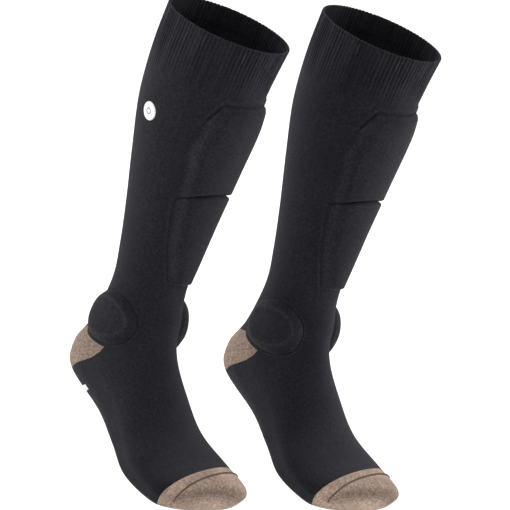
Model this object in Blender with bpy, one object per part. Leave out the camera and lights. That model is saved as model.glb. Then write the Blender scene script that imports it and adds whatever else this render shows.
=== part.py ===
"""A pair of knee-high shin guard socks, on the shape of the legs that wear them.

Each sock is a knitted tube with a ribbed cuff, foam shin pads and ankle pads under sewn-on
knitted covers, and a foot with its own heel, toe and cushion. X points to the toes, Y to the
wearer's left and Z up the leg. Both socks have their toes pointed down a little, as on a foot
that is off the ground. The origin is the right ankle joint. Lengths inside the script are millimetres
from each sock's own ankle joint; the objects themselves are in metres.
"""
import math
from dataclasses import dataclass

import bmesh
import bpy
from mathutils import Vector

MM = 0.001

# Driving dimensions, in millimetres and degrees
LEFT_SOCK_PLACE = (-14.0, 224.0)  # where the left ankle is from the right one
TOES_DOWN = 18.0                # angle of the sole below level
SOLE_LEVEL = -77.0              # inside of the sole, below the ankle joint
TIP_BULGE = 2.0                 # how far the toe's end bulges past the last slice
KNIT = 2.2                      # thickness of the main knit
GAP = 0.3                       # space left between pieces that touch
SEGMENTS = 24                   # facets around the leg

CUFF_TOP = 330.0
CUFF_BOTTOM = 272.0
WELT_BOTTOM = 308.0
ELASTIC_BOTTOM = 310.0
ELASTIC_TOP = 327.5
SLEEVE_BOTTOM = 55.0

PAD_BASE = 3.0                  # inner face of the pads, out from the inside of the knit
SHIN_PAD_THICKNESS = 5.0
SHIN_TURN = 10.0                # the shin pads sit this far towards the wearer's left
SHIN_TOP = 263.0
SHIN_BOTTOM = 65.0
SHIN_OUTLINE = ((276.0, 26.0), (263.0, 31.0), (242.0, 42.0), (212.0, 52.0), (185.0, 50.0),
                (140.0, 48.0), (108.0, 44.0), (85.0, 37.0), (65.0, 28.0), (52.0, 24.0))
GROOVE_HEIGHT = 167.0           # between the two shin pads, at the front of the shin
GROOVE_DROP = 13.0              # how much lower the groove is at the pads' edges
GROOVE_WIDTH = 4.0
COVER_THICKNESS = 1.2
COVER_EASE = 0.7                # room between the shin pads and their cover
COVER_MARGIN = 8.0              # degrees that the shin cover reaches past the pads
COVER_HEM = 6.0                 # how far it reaches above and below them
COVER_WALL_FACTOR = 2.2         # its hem is this much thicker at the foot of the wall

# Where each ankle pad is sewn: angle from the front, height, radius of the leg
ANKLE_PAD_PLACES = {
    "right_inner": (77.0, 14.0, 37.0),
    "right_outer": (92.0, 10.0, 37.0),
    "left_inner": (75.0, 13.0, 37.0),
    "left_outer": (77.0, 13.0, 37.0),
}
ANKLE_PAD_RADIUS = 27.0
ANKLE_PAD_THICKNESS = 8.0
ANKLE_PAD_EDGE = 3.5
ANKLE_COVER_RADIUS = 31.5

TOE_LINE = 177.0                # where the toe cap starts, along the foot
TOE_SLANT = 0.32                # how much further back that line is on the wearer's left
TOE_SEAM = 187.5
HEEL_CORNER = 75.0              # the heel reaches round to this angle from the front
HEEL_SEAM = 8.97                # station where the ankle and the foot meet in front

BADGE_PLACE = (93.0, 229.0, 59.0)
BADGE_RADIUS = 9.5


@dataclass(frozen=True)
class Station:
    """One slice through the leg or the foot.

    front and back are its two ends in the middle plane: (forward, up) from the ankle on the
    leg, and (along the sole, square to the sole) on the foot. squareness is 2 for an ellipse.
    """

    on_foot: bool
    front: tuple
    back: tuple
    half_width: float
    squareness: float


STATIONS = (
    Station(False, (55, 330), (-75, 330), 60, 2.0),
    Station(False, (50, 290), (-76, 290), 60, 2.0),
    Station(False, (46, 235), (-73, 235), 58, 2.0),
    Station(False, (41, 180), (-63, 180), 49.5, 2.0),
    Station(False, (36.5, 125), (-51, 125), 41, 2.0),
    Station(False, (35, 80), (-42, 80), 36, 2.0),
    Station(False, (38, 45), (-37.5, 43), 34.5, 2.0),
    Station(True, (36.5, 38), (-43.5, -22), 34, 2.1),
    Station(True, (44.5, 23), (-47.5, -58), 36, 2.2),
    Station(True, (60, 8), (-27.5, -79), 38, 2.6),
    Station(True, (86, -9), (43, -79), 40, 2.9),
    Station(True, (120, -29), (92, -79), 47, 3.3),
    Station(True, (157, -36), (138, -79), 59, 3.8),
    Station(True, (190, -35), (180, -78), 59, 3.6),
    Station(True, (198, -43), (191, -75), 44, 2.8),
    Station(True, (200, -54), (197, -70), 24, 2.0),
)
LAST = len(STATIONS) - 1

# Materials: colour, roughness
COLOURS = {
    "knit": ((0.021, 0.021, 0.026), 0.95),
    "rib_knit": ((0.019, 0.019, 0.024), 0.95),
    "cover_knit": ((0.024, 0.024, 0.030), 0.95),
    "foam": ((0.10, 0.10, 0.11), 0.85),
    "elastic": ((0.05, 0.05, 0.055), 0.80),
    "tan_knit": ((0.235, 0.165, 0.118), 0.95),
    "cushion": ((0.030, 0.030, 0.036), 1.0),
    "print": ((0.85, 0.85, 0.84), 0.45),
}


def foot_axes():
    """Directions along the sole and square to it, in the middle plane."""
    angle = math.radians(TOES_DOWN)
    return (Vector((math.cos(angle), -math.sin(angle))),
            Vector((math.sin(angle), math.cos(angle))))


ALONG, SQUARE = foot_axes()


def station_values(station):
    """The station as plain numbers in the leg's frame."""
    front = Vector(station.front)
    back = Vector(station.back)
    if station.on_foot:
        front = front.x * ALONG + front.y * SQUARE
        back = back.x * ALONG + back.y * SQUARE
    return (*front, *back, station.half_width, station.squareness)


ROWS = [station_values(station) for station in STATIONS]


def smooth(before, start, end, after, part):
    """A value on the smooth curve through four neighbours."""
    square = part * part
    cube = square * part
    return 0.5 * (2 * start + (end - before) * part
                  + (2 * before - 5 * start + 4 * end - after) * square
                  + (3 * start - before - 3 * end + after) * cube)


def slice_at(level):
    """Centre, forward direction, depth, half width and squareness of the slice at a level."""
    level = min(max(level, 0.0), LAST - 1e-9)
    index = int(level)
    start = ROWS[index]
    end = ROWS[index + 1]
    before = ROWS[index - 1] if index else [2 * a - b for a, b in zip(start, end)]
    after = ROWS[index + 2] if index + 2 <= LAST else [2 * b - a for a, b in zip(start, end)]
    values = [smooth(*four, level - index) for four in zip(before, start, end, after)]
    front = Vector(values[0:2])
    back = Vector(values[2:4])
    depth = (front - back) / 2
    return (front + back) / 2, depth.normalized(), depth.length, values[4], values[5]


def surface(level, angle, out=0.0):
    """A point of the form, out millimetres outside it. angle is 0 in front, 90 on the left."""
    centre, forward, depth, half_width, squareness = slice_at(level)
    cosine = math.cos(math.radians(angle))
    sine = math.sin(math.radians(angle))
    if cosine < 0:
        power = 2 / squareness
        cosine = -abs(cosine) ** power
        sine = math.copysign(abs(sine) ** power, sine)
    middle = centre + forward * (depth + out) * cosine
    along = middle.dot(ALONG)
    square = max(middle.dot(SQUARE), SOLE_LEVEL - out)
    middle = along * ALONG + square * SQUARE
    return Vector((middle.x, (half_width + out) * sine, middle.y))


def outward(level, angle):
    """The direction that faces away from the form there."""
    step = 0.01
    up = surface(level - step, angle) - surface(level + step, angle)
    around = surface(level, angle + 1) - surface(level, angle - 1)
    return around.cross(up).normalized()


def level_of_height(height):
    """The level at which the leg's slice has this height."""
    low = 0.0
    high = 6.5
    for _ in range(30):
        middle = (low + high) / 2
        if slice_at(middle)[0].y > height:
            low = middle
        else:
            high = middle
    return (low + high) / 2


def level_on_foot(angle, line, out=0.0):
    """The level at which the foot's surface crosses the slanted line across the toes."""
    low = 10.0
    high = float(LAST)
    for _ in range(30):
        middle = (low + high) / 2
        point = surface(middle, angle, out)
        if Vector((point.x, point.z)).dot(ALONG) + TOE_SLANT * point.y < line:
            low = middle
        else:
            high = middle
    return (low + high) / 2


def level_beside(height, angle):
    """The level at which the surface has this height, at this angle round the form."""
    low = 1.0
    high = 9.7
    for _ in range(30):
        middle = (low + high) / 2
        if surface(middle, angle).z > height:
            low = middle
        else:
            high = middle
    return (low + high) / 2


def interpolate(table, value):
    """Straight-line reading of a table of (position, value) pairs that run downwards."""
    if value >= table[0][0]:
        return table[0][1]
    for (high, first), (low, second) in zip(table, table[1:]):
        if value >= low:
            return first + (second - first) * (high - value) / (high - low)
    return table[-1][1]


def blend(start, end, part):
    return start + (end - start) * part


def round_angles():
    return [360.0 * step / SEGMENTS for step in range(SEGMENTS)]


def turned(angle):
    """The angle from the front, from 0 to 180, on either side."""
    return abs((angle + 180.0) % 360.0 - 180.0)


# Building solids

def make_material(name):
    """A plain Principled material in the colour and roughness of that knit, foam or print."""
    material = bpy.data.materials.get(name)
    if material is None:
        colour, roughness = COLOURS[name]
        material = bpy.data.materials.new(name)
        material.use_nodes = True
        shader = material.node_tree.nodes["Principled BSDF"]
        shader.inputs["Base Color"].default_value = (*colour, 1.0)
        shader.inputs["Roughness"].default_value = roughness
        shader.inputs["Metallic"].default_value = 0.0
        material.diffuse_color = (*colour, 1.0)
    return material


def finish_solid(name, mesh_data, finish, parent):
    """Turn a bmesh in millimetres into an object with its own material, under its parent."""
    bmesh.ops.scale(mesh_data, vec=(MM, MM, MM), verts=mesh_data.verts)
    bmesh.ops.recalc_face_normals(mesh_data, faces=mesh_data.faces)
    for face in mesh_data.faces:
        face.smooth = True
    mesh = bpy.data.meshes.new(name)
    mesh_data.to_mesh(mesh)
    mesh_data.free()
    mesh.materials.append(make_material(finish).copy())
    mesh.materials[0].name = name + "_" + finish
    solid = bpy.data.objects.new(name, mesh)
    bpy.context.scene.collection.objects.link(solid)
    solid.parent = parent
    return solid


def add_strip(mesh_data, first, second, closed):
    """Quads between two rows of vertices."""
    count = len(first)
    for index in range(count if closed else count - 1):
        after = (index + 1) % count
        mesh_data.faces.new((first[index], first[after], second[after], second[index]))


def ring_solid(name, profile, finish, parent):
    """A tube around the form. profile gives the closed outline (level, out) at each angle."""
    mesh_data = bmesh.new()
    angles = round_angles()
    outlines = [profile(angle) for angle in angles]
    rings = []
    for corner in range(len(outlines[0])):
        rings.append([mesh_data.verts.new(surface(outline[corner][0], angle, outline[corner][1]))
                      for angle, outline in zip(angles, outlines)])
    for index, ring in enumerate(rings):
        add_strip(mesh_data, ring, rings[(index + 1) % len(rings)], closed=True)
    return finish_solid(name, mesh_data, finish, parent)


def tube_profile(top, bottom, inner, outer, rows):
    """The outline of a plain wall between two edges, each a level or a function of the angle."""
    def profile(angle):
        start = top(angle) if callable(top) else top
        end = bottom(angle) if callable(bottom) else bottom
        levels = [blend(start, end, row / rows) for row in range(rows + 1)]
        return ([(level, outer) for level in levels]
                + [(level, inner) for level in reversed(levels)])
    return profile


def slab_solid(name, inner, outer, finish, parent):
    """A closed patch between two grids of points of the same size."""
    mesh_data = bmesh.new()
    inner_rows = [[mesh_data.verts.new(point) for point in row] for row in inner]
    outer_rows = [[mesh_data.verts.new(point) for point in row] for row in outer]
    for rows in (inner_rows, outer_rows):
        for first, second in zip(rows, rows[1:]):
            add_strip(mesh_data, first, second, closed=False)
    for row in (0, -1):
        add_strip(mesh_data, inner_rows[row], outer_rows[row], closed=False)
    for column in (0, -1):
        add_strip(mesh_data, [row[column] for row in inner_rows],
                  [row[column] for row in outer_rows], closed=False)
    return finish_solid(name, mesh_data, finish, parent)


def disc_solid(name, place, side, rings, finish, parent, segments=24):
    """A round patch wrapped on one side of the form.

    place is its (angle from the front, height, radius of the leg there), side is 1 on the
    wearer's left and -1 on the right, and rings are (radius, inner out, outer out) from the
    middle to the edge, the first at radius 0.
    """
    middle, height, leg_radius = place
    mesh_data = bmesh.new()
    layers = ([], [])
    for radius, *outs in rings:
        count = segments if radius else 1
        spots = []
        for step in range(count):
            turn = 2 * math.pi * step / count
            angle = side * (middle - math.degrees(radius * math.cos(turn) / leg_radius))
            level = level_beside(height + radius * math.sin(turn), angle)
            spots.append((surface(level, angle), outward(level, angle)))
        for layer, out in zip(layers, outs):
            layer.append([mesh_data.verts.new(point + normal * out) for point, normal in spots])
    for layer in layers:
        centre = layer[0][0]
        ring = layer[1]
        for index, vertex in enumerate(ring):
            mesh_data.faces.new((centre, vertex, ring[(index + 1) % segments]))
        for first, second in zip(layer[1:], layer[2:]):
            add_strip(mesh_data, first, second, closed=True)
    add_strip(mesh_data, layers[0][-1], layers[1][-1], closed=True)
    return finish_solid(name, mesh_data, finish, parent)


# The knitted tube

def heel_part(angle):
    """0 at the heel's forward corners and 1 at the very back."""
    return min(max((turned(angle) - HEEL_CORNER) / (180.0 - HEEL_CORNER), 0.0), 1.0)


def heel_top(angle):
    if turned(angle) < HEEL_CORNER - 1:
        return HEEL_SEAM
    return HEEL_SEAM - 0.09 - 1.3 * heel_part(angle) ** 0.75


def heel_bottom(angle):
    if turned(angle) < HEEL_CORNER - 1:
        return HEEL_SEAM
    return HEEL_SEAM + 0.03 + 0.38 * heel_part(angle) ** 0.7


def toe_edge(angle):
    return level_on_foot(angle, TOE_LINE)


def build_cuff(side, leg):
    """The rib knit, folded inwards at the top into a welt that is open along its lower edge."""
    def height(value):
        return level_of_height(value)

    outline = [(height(CUFF_BOTTOM), 0.3), (height(CUFF_BOTTOM), 2.5),
               (height(WELT_BOTTOM - 2), 2.5), (height(WELT_BOTTOM), 3.4),
               (height(CUFF_TOP - 1.2), 3.4), (0.0, 2.6), (0.0, 0.8),
               (height(CUFF_TOP - 1.2), 0.0), (height(WELT_BOTTOM), 0.0),
               (height(WELT_BOTTOM), 0.9), (height(CUFF_TOP - 1.6), 0.9),
               (height(CUFF_TOP - 1.6), 2.3), (height(WELT_BOTTOM - 1), 2.3),
               (height(WELT_BOTTOM - 2), 0.3)]
    ring_solid(side + "_cuff", lambda angle: outline, "rib_knit", leg)
    ring_solid(side + "_cuff_elastic",
               tube_profile(height(ELASTIC_TOP), height(ELASTIC_BOTTOM), 1.2, 2.0, 1),
               "elastic", leg)


def build_knit_tube(side, leg, foot):
    """Leg, ankle and foot knits, heel and toe cap: one sock end to end in separate pieces."""
    gap_level = 0.02
    ring_solid(side + "_leg_sleeve",
               tube_profile(level_of_height(CUFF_BOTTOM - GAP), level_of_height(SLEEVE_BOTTOM),
                            0.0, KNIT, 10), "knit", leg)
    ring_solid(side + "_ankle_sleeve",
               tube_profile(level_of_height(SLEEVE_BOTTOM - GAP),
                            lambda angle: heel_top(angle) - gap_level, 0.0, KNIT, 8),
               "knit", leg)
    ring_solid(side + "_foot_sleeve",
               tube_profile(lambda angle: heel_bottom(angle) + gap_level,
                            lambda angle: level_on_foot(angle, TOE_LINE - GAP), 0.0, KNIT, 7),
               "knit", foot)
    build_heel(side, foot)
    build_toe_cap(side, foot)


def build_heel(side, foot):
    """The heel pouch, from corner to corner round the back of the foot."""
    angles = [angle for angle in round_angles() if turned(angle) > HEEL_CORNER - 1]
    rows = 4
    grids = []
    for out in (0.0, KNIT):
        grids.append([[surface(blend(heel_top(angle), heel_bottom(angle), row / rows), angle, out)
                       for angle in angles] for row in range(rows + 1)])
    slab_solid(side + "_heel", *grids, "tan_knit", foot)


def build_toe_cap(side, foot):
    """The closed end of the foot, inside and outside skins meeting at its open edge."""
    mesh_data = bmesh.new()
    rows = 5
    edges = []
    for out, bulge in ((KNIT, TIP_BULGE + KNIT), (0.0, TIP_BULGE)):
        rings = []
        for row in range(rows + 1):
            rings.append([mesh_data.verts.new(surface(blend(toe_edge(angle), LAST, row / rows),
                                                      angle, out))
                          for angle in round_angles()])
        for first, second in zip(rings, rings[1:]):
            add_strip(mesh_data, first, second, closed=True)
        centre = slice_at(LAST)[0] + ALONG * bulge
        tip = mesh_data.verts.new((centre.x, 0.0, centre.y))
        for index, vertex in enumerate(rings[-1]):
            mesh_data.faces.new((vertex, rings[-1][(index + 1) % SEGMENTS], tip))
        edges.append(rings[0])
    add_strip(mesh_data, *edges, closed=True)
    finish_solid(side + "_toe_cap", mesh_data, "tan_knit", foot)


def build_toe_seam(side, foot):
    """The bead of linking stitches that closes the toe, from side to side over the toes."""
    angles = [-78.0 + 6.0 * step for step in range(27)]
    inner = []
    outer = []
    for along, rise in ((-1.3, 0.4), (-0.6, 1.0), (0.6, 1.0), (1.3, 0.4)):
        levels = [level_on_foot(angle, TOE_SEAM + along, PAD_BASE) for angle in angles]
        inner.append([surface(level, angle, PAD_BASE) for level, angle in zip(levels, angles)])
        outer.append([surface(level, angle, PAD_BASE + rise)
                      for level, angle in zip(levels, angles)])
    slab_solid(side + "_toe_seam", inner, outer, "tan_knit", foot)


def build_sole_cushion(side, foot):
    """The looped cushion knit inside the sole, from the heel to the ball of the foot."""
    angles = [angle for angle in round_angles() if turned(angle) > 124]
    levels = [9.6 + 0.45 * step for step in range(7)]
    grids = [[[surface(level, angle, out) for angle in angles] for level in levels]
             for out in (-3.4, -0.8)]
    slab_solid(side + "_sole_cushion", *grids, "cushion", foot)


# Pads and their covers

def groove_height(across):
    """Height of the groove between the shin pads; across is -1 and 1 at the pads' edges."""
    return GROOVE_HEIGHT - GROOVE_DROP * across * across


def shin_point(height, across, out, margin=0.0):
    """A point over the shin at a height, across from one edge of the pads to the other."""
    half = interpolate(SHIN_OUTLINE, height) + margin
    return surface(level_of_height(height), SHIN_TURN + across * half, out)


PAD_STEPS = (0.0, 0.07, 0.2, 0.45, 0.7, 0.88, 1.0)
PAD_COLUMNS = (-1.0, -0.94, -0.8, -0.6, -0.4, -0.2, 0.0, 0.2, 0.4, 0.6, 0.8, 0.94, 1.0)
COVER_COLUMNS = ([(-1.0, COVER_MARGIN), (-1.0, COVER_EASE)] + [(column, 0.0) for column in PAD_COLUMNS]
                 + [(1.0, COVER_EASE), (1.0, COVER_MARGIN)])


def shin_pad_out(across, down):
    """Height of the pad's outer face, lower in a rounded edge all round."""
    edge = min(1.0 - abs(across), down * 1.2, (1.0 - down) * 1.2)
    return PAD_BASE + SHIN_PAD_THICKNESS * (0.5 + 0.5 * min(edge / 0.15, 1.0) ** 0.5)


def shin_height(part, across, down):
    """Height of a row of a shin pad; down is 0 at the pad's top edge and 1 at its bottom edge."""
    if part == "upper":
        return blend(SHIN_TOP, groove_height(across) + GROOVE_WIDTH / 2, down)
    return blend(groove_height(across) - GROOVE_WIDTH / 2, SHIN_BOTTOM, down)


def build_shin_pads(side, leg):
    """Two foam pads over the shin, with the groove that lets them fold between them."""
    for part in ("upper", "lower"):
        inner = []
        outer = []
        for down in PAD_STEPS:
            spots = [(shin_height(part, across, down), across) for across in PAD_COLUMNS]
            inner.append([shin_point(height, across, PAD_BASE) for height, across in spots])
            outer.append([shin_point(height, across, shin_pad_out(across, down))
                          for height, across in spots])
        slab_solid(side + "_shin_pad_" + part, inner, outer, "foam", leg)


def cover_row(height_of, rim):
    """One row of the shin cover's inner and outer points. rim is None away from its ends.

    The cover is clear of the pads, lower over their edges, and flat on the knit outside them.
    """
    clear = PAD_BASE + SHIN_PAD_THICKNESS + COVER_EASE
    wall = PAD_BASE + SHIN_PAD_THICKNESS * 0.5 + COVER_EASE
    inner = []
    outer = []
    for across, margin in COVER_COLUMNS:
        on_hem = rim in ("hem", "foot of wall") or margin > 0
        if on_hem:
            base = PAD_BASE
        elif rim == "edge" or abs(across) == 1.0:
            base = wall
        else:
            base = clear
        by_wall = on_hem and rim != "hem" and margin != COVER_MARGIN
        thickness = COVER_THICKNESS * (COVER_WALL_FACTOR if by_wall else 1.0)
        height = height_of(across)
        inner.append(shin_point(height, across, base, margin))
        outer.append(shin_point(height, across, base + thickness, margin))
    return inner, outer


def build_shin_cover(side, leg):
    """The knitted panel sewn over both shin pads: a hem all round, walls, and a stretched top."""
    rows = [cover_row(lambda across: SHIN_TOP + COVER_HEM, "hem"),
            cover_row(lambda across: SHIN_TOP + COVER_EASE, "foot of wall")]
    for part in ("upper", "lower"):
        for down in PAD_STEPS:
            rim = "edge" if down in (0.0, 1.0) else None
            rows.append(cover_row(lambda across: shin_height(part, across, down), rim))
    rows.append(cover_row(lambda across: SHIN_BOTTOM - COVER_EASE, "foot of wall"))
    rows.append(cover_row(lambda across: SHIN_BOTTOM - COVER_HEM, "hem"))
    slab_solid(side + "_shin_cover", [row[0] for row in rows], [row[1] for row in rows],
               "cover_knit", leg)


def build_ankle_pads(side, leg):
    """A round foam pad over each ankle bone, and the domed cover sewn over each."""
    domes = ((0.0, 1.0), (0.45, 0.95), (0.75, 0.82), (0.92, 0.62))
    pad = [(ANKLE_PAD_RADIUS * part, PAD_BASE, PAD_BASE + ANKLE_PAD_THICKNESS * rise)
           for part, rise in domes]
    pad.append((ANKLE_PAD_RADIUS, PAD_BASE, PAD_BASE + ANKLE_PAD_EDGE))
    cover = [(radius, out + GAP, out + GAP + COVER_THICKNESS) for radius, _, out in pad]
    cover.append((ANKLE_PAD_RADIUS + 0.5, PAD_BASE, PAD_BASE + ANKLE_PAD_EDGE + COVER_THICKNESS))
    cover.append((ANKLE_PAD_RADIUS + 2.5, PAD_BASE, PAD_BASE + 1.6))
    cover.append((ANKLE_COVER_RADIUS, PAD_BASE, PAD_BASE + 1.0))
    for ankle_side, way in (("inner", 1), ("outer", -1)):
        way = way if side == "right" else -way
        place = ANKLE_PAD_PLACES[side + "_" + ankle_side]
        disc_solid(side + "_ankle_pad_" + ankle_side, place, way, pad, "foam", leg)
        disc_solid(side + "_ankle_cover_" + ankle_side, place, way, cover, "cover_knit", leg)


def build_marks(side, leg, foot):
    """The plain round badge on the outside of the calf and the plain bar under the heel."""
    way = -1 if side == "right" else 1
    badge = [(BADGE_RADIUS * part, PAD_BASE, PAD_BASE + rise)
             for part, rise in ((0.0, 0.8), (0.55, 0.8), (0.92, 0.7), (1.0, 0.4))]
    disc_solid(side + "_badge", BADGE_PLACE, way, badge, "print", leg, segments=20)
    angles = [way * angle for angle in (136.0, 139.0, 142.0, 145.0, 148.0)]
    levels = (9.42, 9.50, 9.58)
    grids = [[[surface(level, angle, out) for angle in angles] for level in levels]
             for out in (PAD_BASE, PAD_BASE + 0.5)]
    slab_solid(side + "_sole_mark", *grids, "print", foot)


def build_sock(side, place):
    """One sock, its leg and its foot each under an empty that stands on the ankle's hinge."""
    location = Vector((*place, 0.0)) * MM
    frames = []
    for name in ("_leg_frame", "_ankle_hinge"):
        frame = bpy.data.objects.new(side + name, None)
        frame.empty_display_size = 0.03
        frame.location = location
        bpy.context.scene.collection.objects.link(frame)
        frames.append(frame)
    leg, foot = frames
    build_cuff(side, leg)
    build_knit_tube(side, leg, foot)
    build_sole_cushion(side, foot)
    build_toe_seam(side, foot)
    build_shin_pads(side, leg)
    build_shin_cover(side, leg)
    build_ankle_pads(side, leg)
    build_marks(side, leg, foot)


def main():
    for old in list(bpy.data.objects):
        bpy.data.objects.remove(old, do_unlink=True)
    build_sock("right", (0.0, 0.0))
    build_sock("left", LEFT_SOCK_PLACE)


main()
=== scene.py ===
"""Looks for a pair of padded knee-high shin guard socks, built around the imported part.

Every piece is laid on the form of the leg and foot that fill a sock. Lengths in the classes are
millimetres and angles are degrees, from each sock's own ankle joint: angle 0 is the front of the
leg and 90 the wearer's left. The meshes are made in metres, in the part's own frame.
"""
import logging
import math
from collections.abc import Callable
from dataclasses import dataclass
from enum import Enum
from typing import Any, ClassVar

import bmesh
import bpy
import numpy as np
from mathutils import Matrix, Vector


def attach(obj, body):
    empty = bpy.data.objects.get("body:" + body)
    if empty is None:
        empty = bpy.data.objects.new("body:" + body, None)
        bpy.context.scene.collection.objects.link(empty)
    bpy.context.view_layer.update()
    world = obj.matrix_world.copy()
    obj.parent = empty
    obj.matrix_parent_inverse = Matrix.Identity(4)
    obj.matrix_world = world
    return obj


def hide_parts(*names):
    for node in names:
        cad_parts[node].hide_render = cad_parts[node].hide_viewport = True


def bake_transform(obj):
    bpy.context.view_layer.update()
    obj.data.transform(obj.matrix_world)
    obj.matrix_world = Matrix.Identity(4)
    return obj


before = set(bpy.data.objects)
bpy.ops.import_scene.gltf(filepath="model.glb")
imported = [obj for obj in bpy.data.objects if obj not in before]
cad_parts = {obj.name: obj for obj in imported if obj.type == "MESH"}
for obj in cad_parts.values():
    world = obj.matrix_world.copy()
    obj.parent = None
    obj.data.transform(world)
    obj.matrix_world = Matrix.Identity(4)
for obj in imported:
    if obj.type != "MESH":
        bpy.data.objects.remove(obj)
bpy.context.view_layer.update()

MM = 0.001
LOG = logging.getLogger("socks")

KNIT_OUT = 2.2          # outer face of the plain knit, out from the wearer's skin
WALES = 192             # stitch columns round the sock
COURSE = 1.55           # height of one row of stitches
LEFT_PLACE = (-14.0, 224.0)   # where the left ankle is from the right one
TOE_SEAM_LINE = 187.5   # how far along the foot the toes are linked, on its middle line
TOE_SLANT = 0.32        # how much nearer the heel that is, for each mm to the wearer's left
COVER_BACK = 0.02       # least height of a cover's inside over the knit
FOAM_BACK = 0.3         # height of the foam's back over the knit
FOAM_LEAST = 0.9        # least height of the foam's front over the knit
FOAM_GAP = 0.25         # between a cover and the foam under it


class Side(Enum):
    """The wearer's two legs."""

    RIGHT = "right"
    LEFT = "left"


class Riding(Enum):
    """What a piece of the sock moves with."""

    LEG = "leg"
    FOOT = "foot"
    ANKLE = "ankle"


# The wearer's leg

@dataclass(frozen=True)
class Station:
    """One slice through the leg or the foot: its two ends in the middle plane and its width."""

    on_foot: bool
    front: tuple[float, float]
    back: tuple[float, float]
    half_width: float
    squareness: float


class Form:
    """The leg and foot that fill a sock, as slices from the cuff (level 0) to the toes."""

    toes_down: float = 18.0
    sole_level: float = -77.0
    stations: tuple[Station, ...] = (
        Station(False, (55, 330), (-75, 330), 60, 2.0),
        Station(False, (50, 290), (-76, 290), 60, 2.0),
        Station(False, (46, 235), (-73, 235), 58, 2.0),
        Station(False, (41, 180), (-63, 180), 49.5, 2.0),
        Station(False, (36.5, 125), (-51, 125), 41, 2.0),
        Station(False, (35, 80), (-42, 80), 36, 2.0),
        Station(False, (38, 45), (-37.5, 43), 34.5, 2.0),
        Station(True, (36.5, 38), (-43.5, -22), 34, 2.1),
        Station(True, (44.5, 23), (-47.5, -58), 36, 2.2),
        Station(True, (60, 8), (-27.5, -79), 38, 2.6),
        Station(True, (86, -9), (43, -79), 40, 2.9),
        Station(True, (120, -29), (92, -79), 48, 4.0),
        Station(True, (156, -36), (138, -79), 61, 4.4),
        Station(True, (191, -35), (181, -74), 61, 3.5),
        Station(True, (201, -43), (194, -71), 49, 2.8),
        Station(True, (204, -53), (200, -66), 28, 2.0),
    )

    def __init__(self) -> None:
        """Lay the slices out in the leg's frame."""
        angle = math.radians(self.toes_down)
        self.along = np.array([math.cos(angle), -math.sin(angle)])
        self.square = np.array([math.sin(angle), math.cos(angle)])
        rows = np.array([self._plain(station) for station in self.stations])
        self.last = len(rows) - 1
        self.rows = np.vstack([2 * rows[0] - rows[1], rows, 2 * rows[-1] - rows[-2]])
        self._levels = np.linspace(0, self.last, 60 * self.last)
        values = self.slices(self._levels)
        centres = (values[:, 0:2] + values[:, 2:4]) / 2
        steps = np.linalg.norm(np.diff(centres, axis=0), axis=1)
        self._lengths = np.concatenate([[0.0], np.cumsum(steps)])

    def _plain(self, station: Station) -> list[float]:
        """The station as plain numbers in the leg's frame.

        Args:
            station: The slice.

        Returns:
            Front and back points, half width and squareness.
        """
        ends = [np.array(end, float) for end in (station.front, station.back)]
        if station.on_foot:
            ends = [end[0] * self.along + end[1] * self.square for end in ends]
        return [*ends[0], *ends[1], station.half_width, station.squareness]

    def slices(self, level: np.ndarray) -> np.ndarray:
        """Slices between the stations, on smooth curves.

        Args:
            level: How far along the sock, in stations.

        Returns:
            Front and back points, half width and squareness, six numbers for each level.
        """
        level = np.clip(level, 0.0, self.last - 1e-9)
        index = level.astype(int)
        part = (level - index)[..., None]
        before, start, end, after = (self.rows[index + step] for step in range(4))
        return 0.5 * (2 * start + (end - before) * part
                      + (2 * before - 5 * start + 4 * end - after) * part ** 2
                      + (3 * start - before - 3 * end + after) * part ** 3)

    def surface(self, level: np.ndarray, angle: np.ndarray, out: np.ndarray = 0.0) -> np.ndarray:
        """Points over the form.

        Args:
            level: How far along the sock, in stations.
            angle: Degrees round it from the front.
            out: Millimetres outside the skin.

        Returns:
            Points in millimetres, with the arrays' common shape.
        """
        level, angle, out = np.broadcast_arrays(*(np.asarray(v, float) for v in (level, angle, out)))
        values = self.slices(level)
        centre = (values[..., 0:2] + values[..., 2:4]) / 2
        depth = (values[..., 0:2] - values[..., 2:4]) / 2
        length = np.linalg.norm(depth, axis=-1)
        cosine = np.cos(np.radians(angle))
        sine = np.sin(np.radians(angle))
        part = np.clip(-cosine / 0.4, 0.0, 1.0)
        power = 1.0 + (2 / values[..., 5] - 1.0) * part * part * (3 - 2 * part)
        cosine = np.sign(cosine) * np.abs(cosine) ** power
        sine = np.sign(sine) * np.abs(sine) ** power
        middle = centre + depth * ((length + out) / length * cosine)[..., None]
        along = middle @ self.along
        square = np.maximum(middle @ self.square, self.sole_level - out)
        flat = along[..., None] * self.along + square[..., None] * self.square
        return np.stack([flat[..., 0], (values[..., 4] + out) * sine, flat[..., 1]], axis=-1)

    def outward(self, level: np.ndarray, angle: np.ndarray) -> np.ndarray:
        """Unit directions that face away from the form.

        Args:
            level: How far along the sock, in stations.
            angle: Degrees round it from the front.

        Returns:
            One direction for each point.
        """
        up = self.surface(level - 0.02, angle) - self.surface(level + 0.02, angle)
        around = self.surface(level, angle + 1.0) - self.surface(level, angle - 1.0)
        normal = np.cross(around, up)
        return normal / np.linalg.norm(normal, axis=-1)[..., None]

    @staticmethod
    def _search(low: float, high: float, shape: tuple[int, ...],
                beyond: Callable[[np.ndarray], np.ndarray]) -> np.ndarray:
        """Halve an interval until beyond(level) turns from False to True.

        Args:
            low: A level before the turn.
            high: A level past it.
            shape: The shape of the answer.
            beyond: Tells which levels are past the turn.

        Returns:
            The level of the turn.
        """
        low = np.full(shape, low)
        high = np.full(shape, high)
        for _ in range(26):
            middle = (low + high) / 2
            past = beyond(middle)
            high = np.where(past, middle, high)
            low = np.where(past, low, middle)
        return (low + high) / 2

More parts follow.
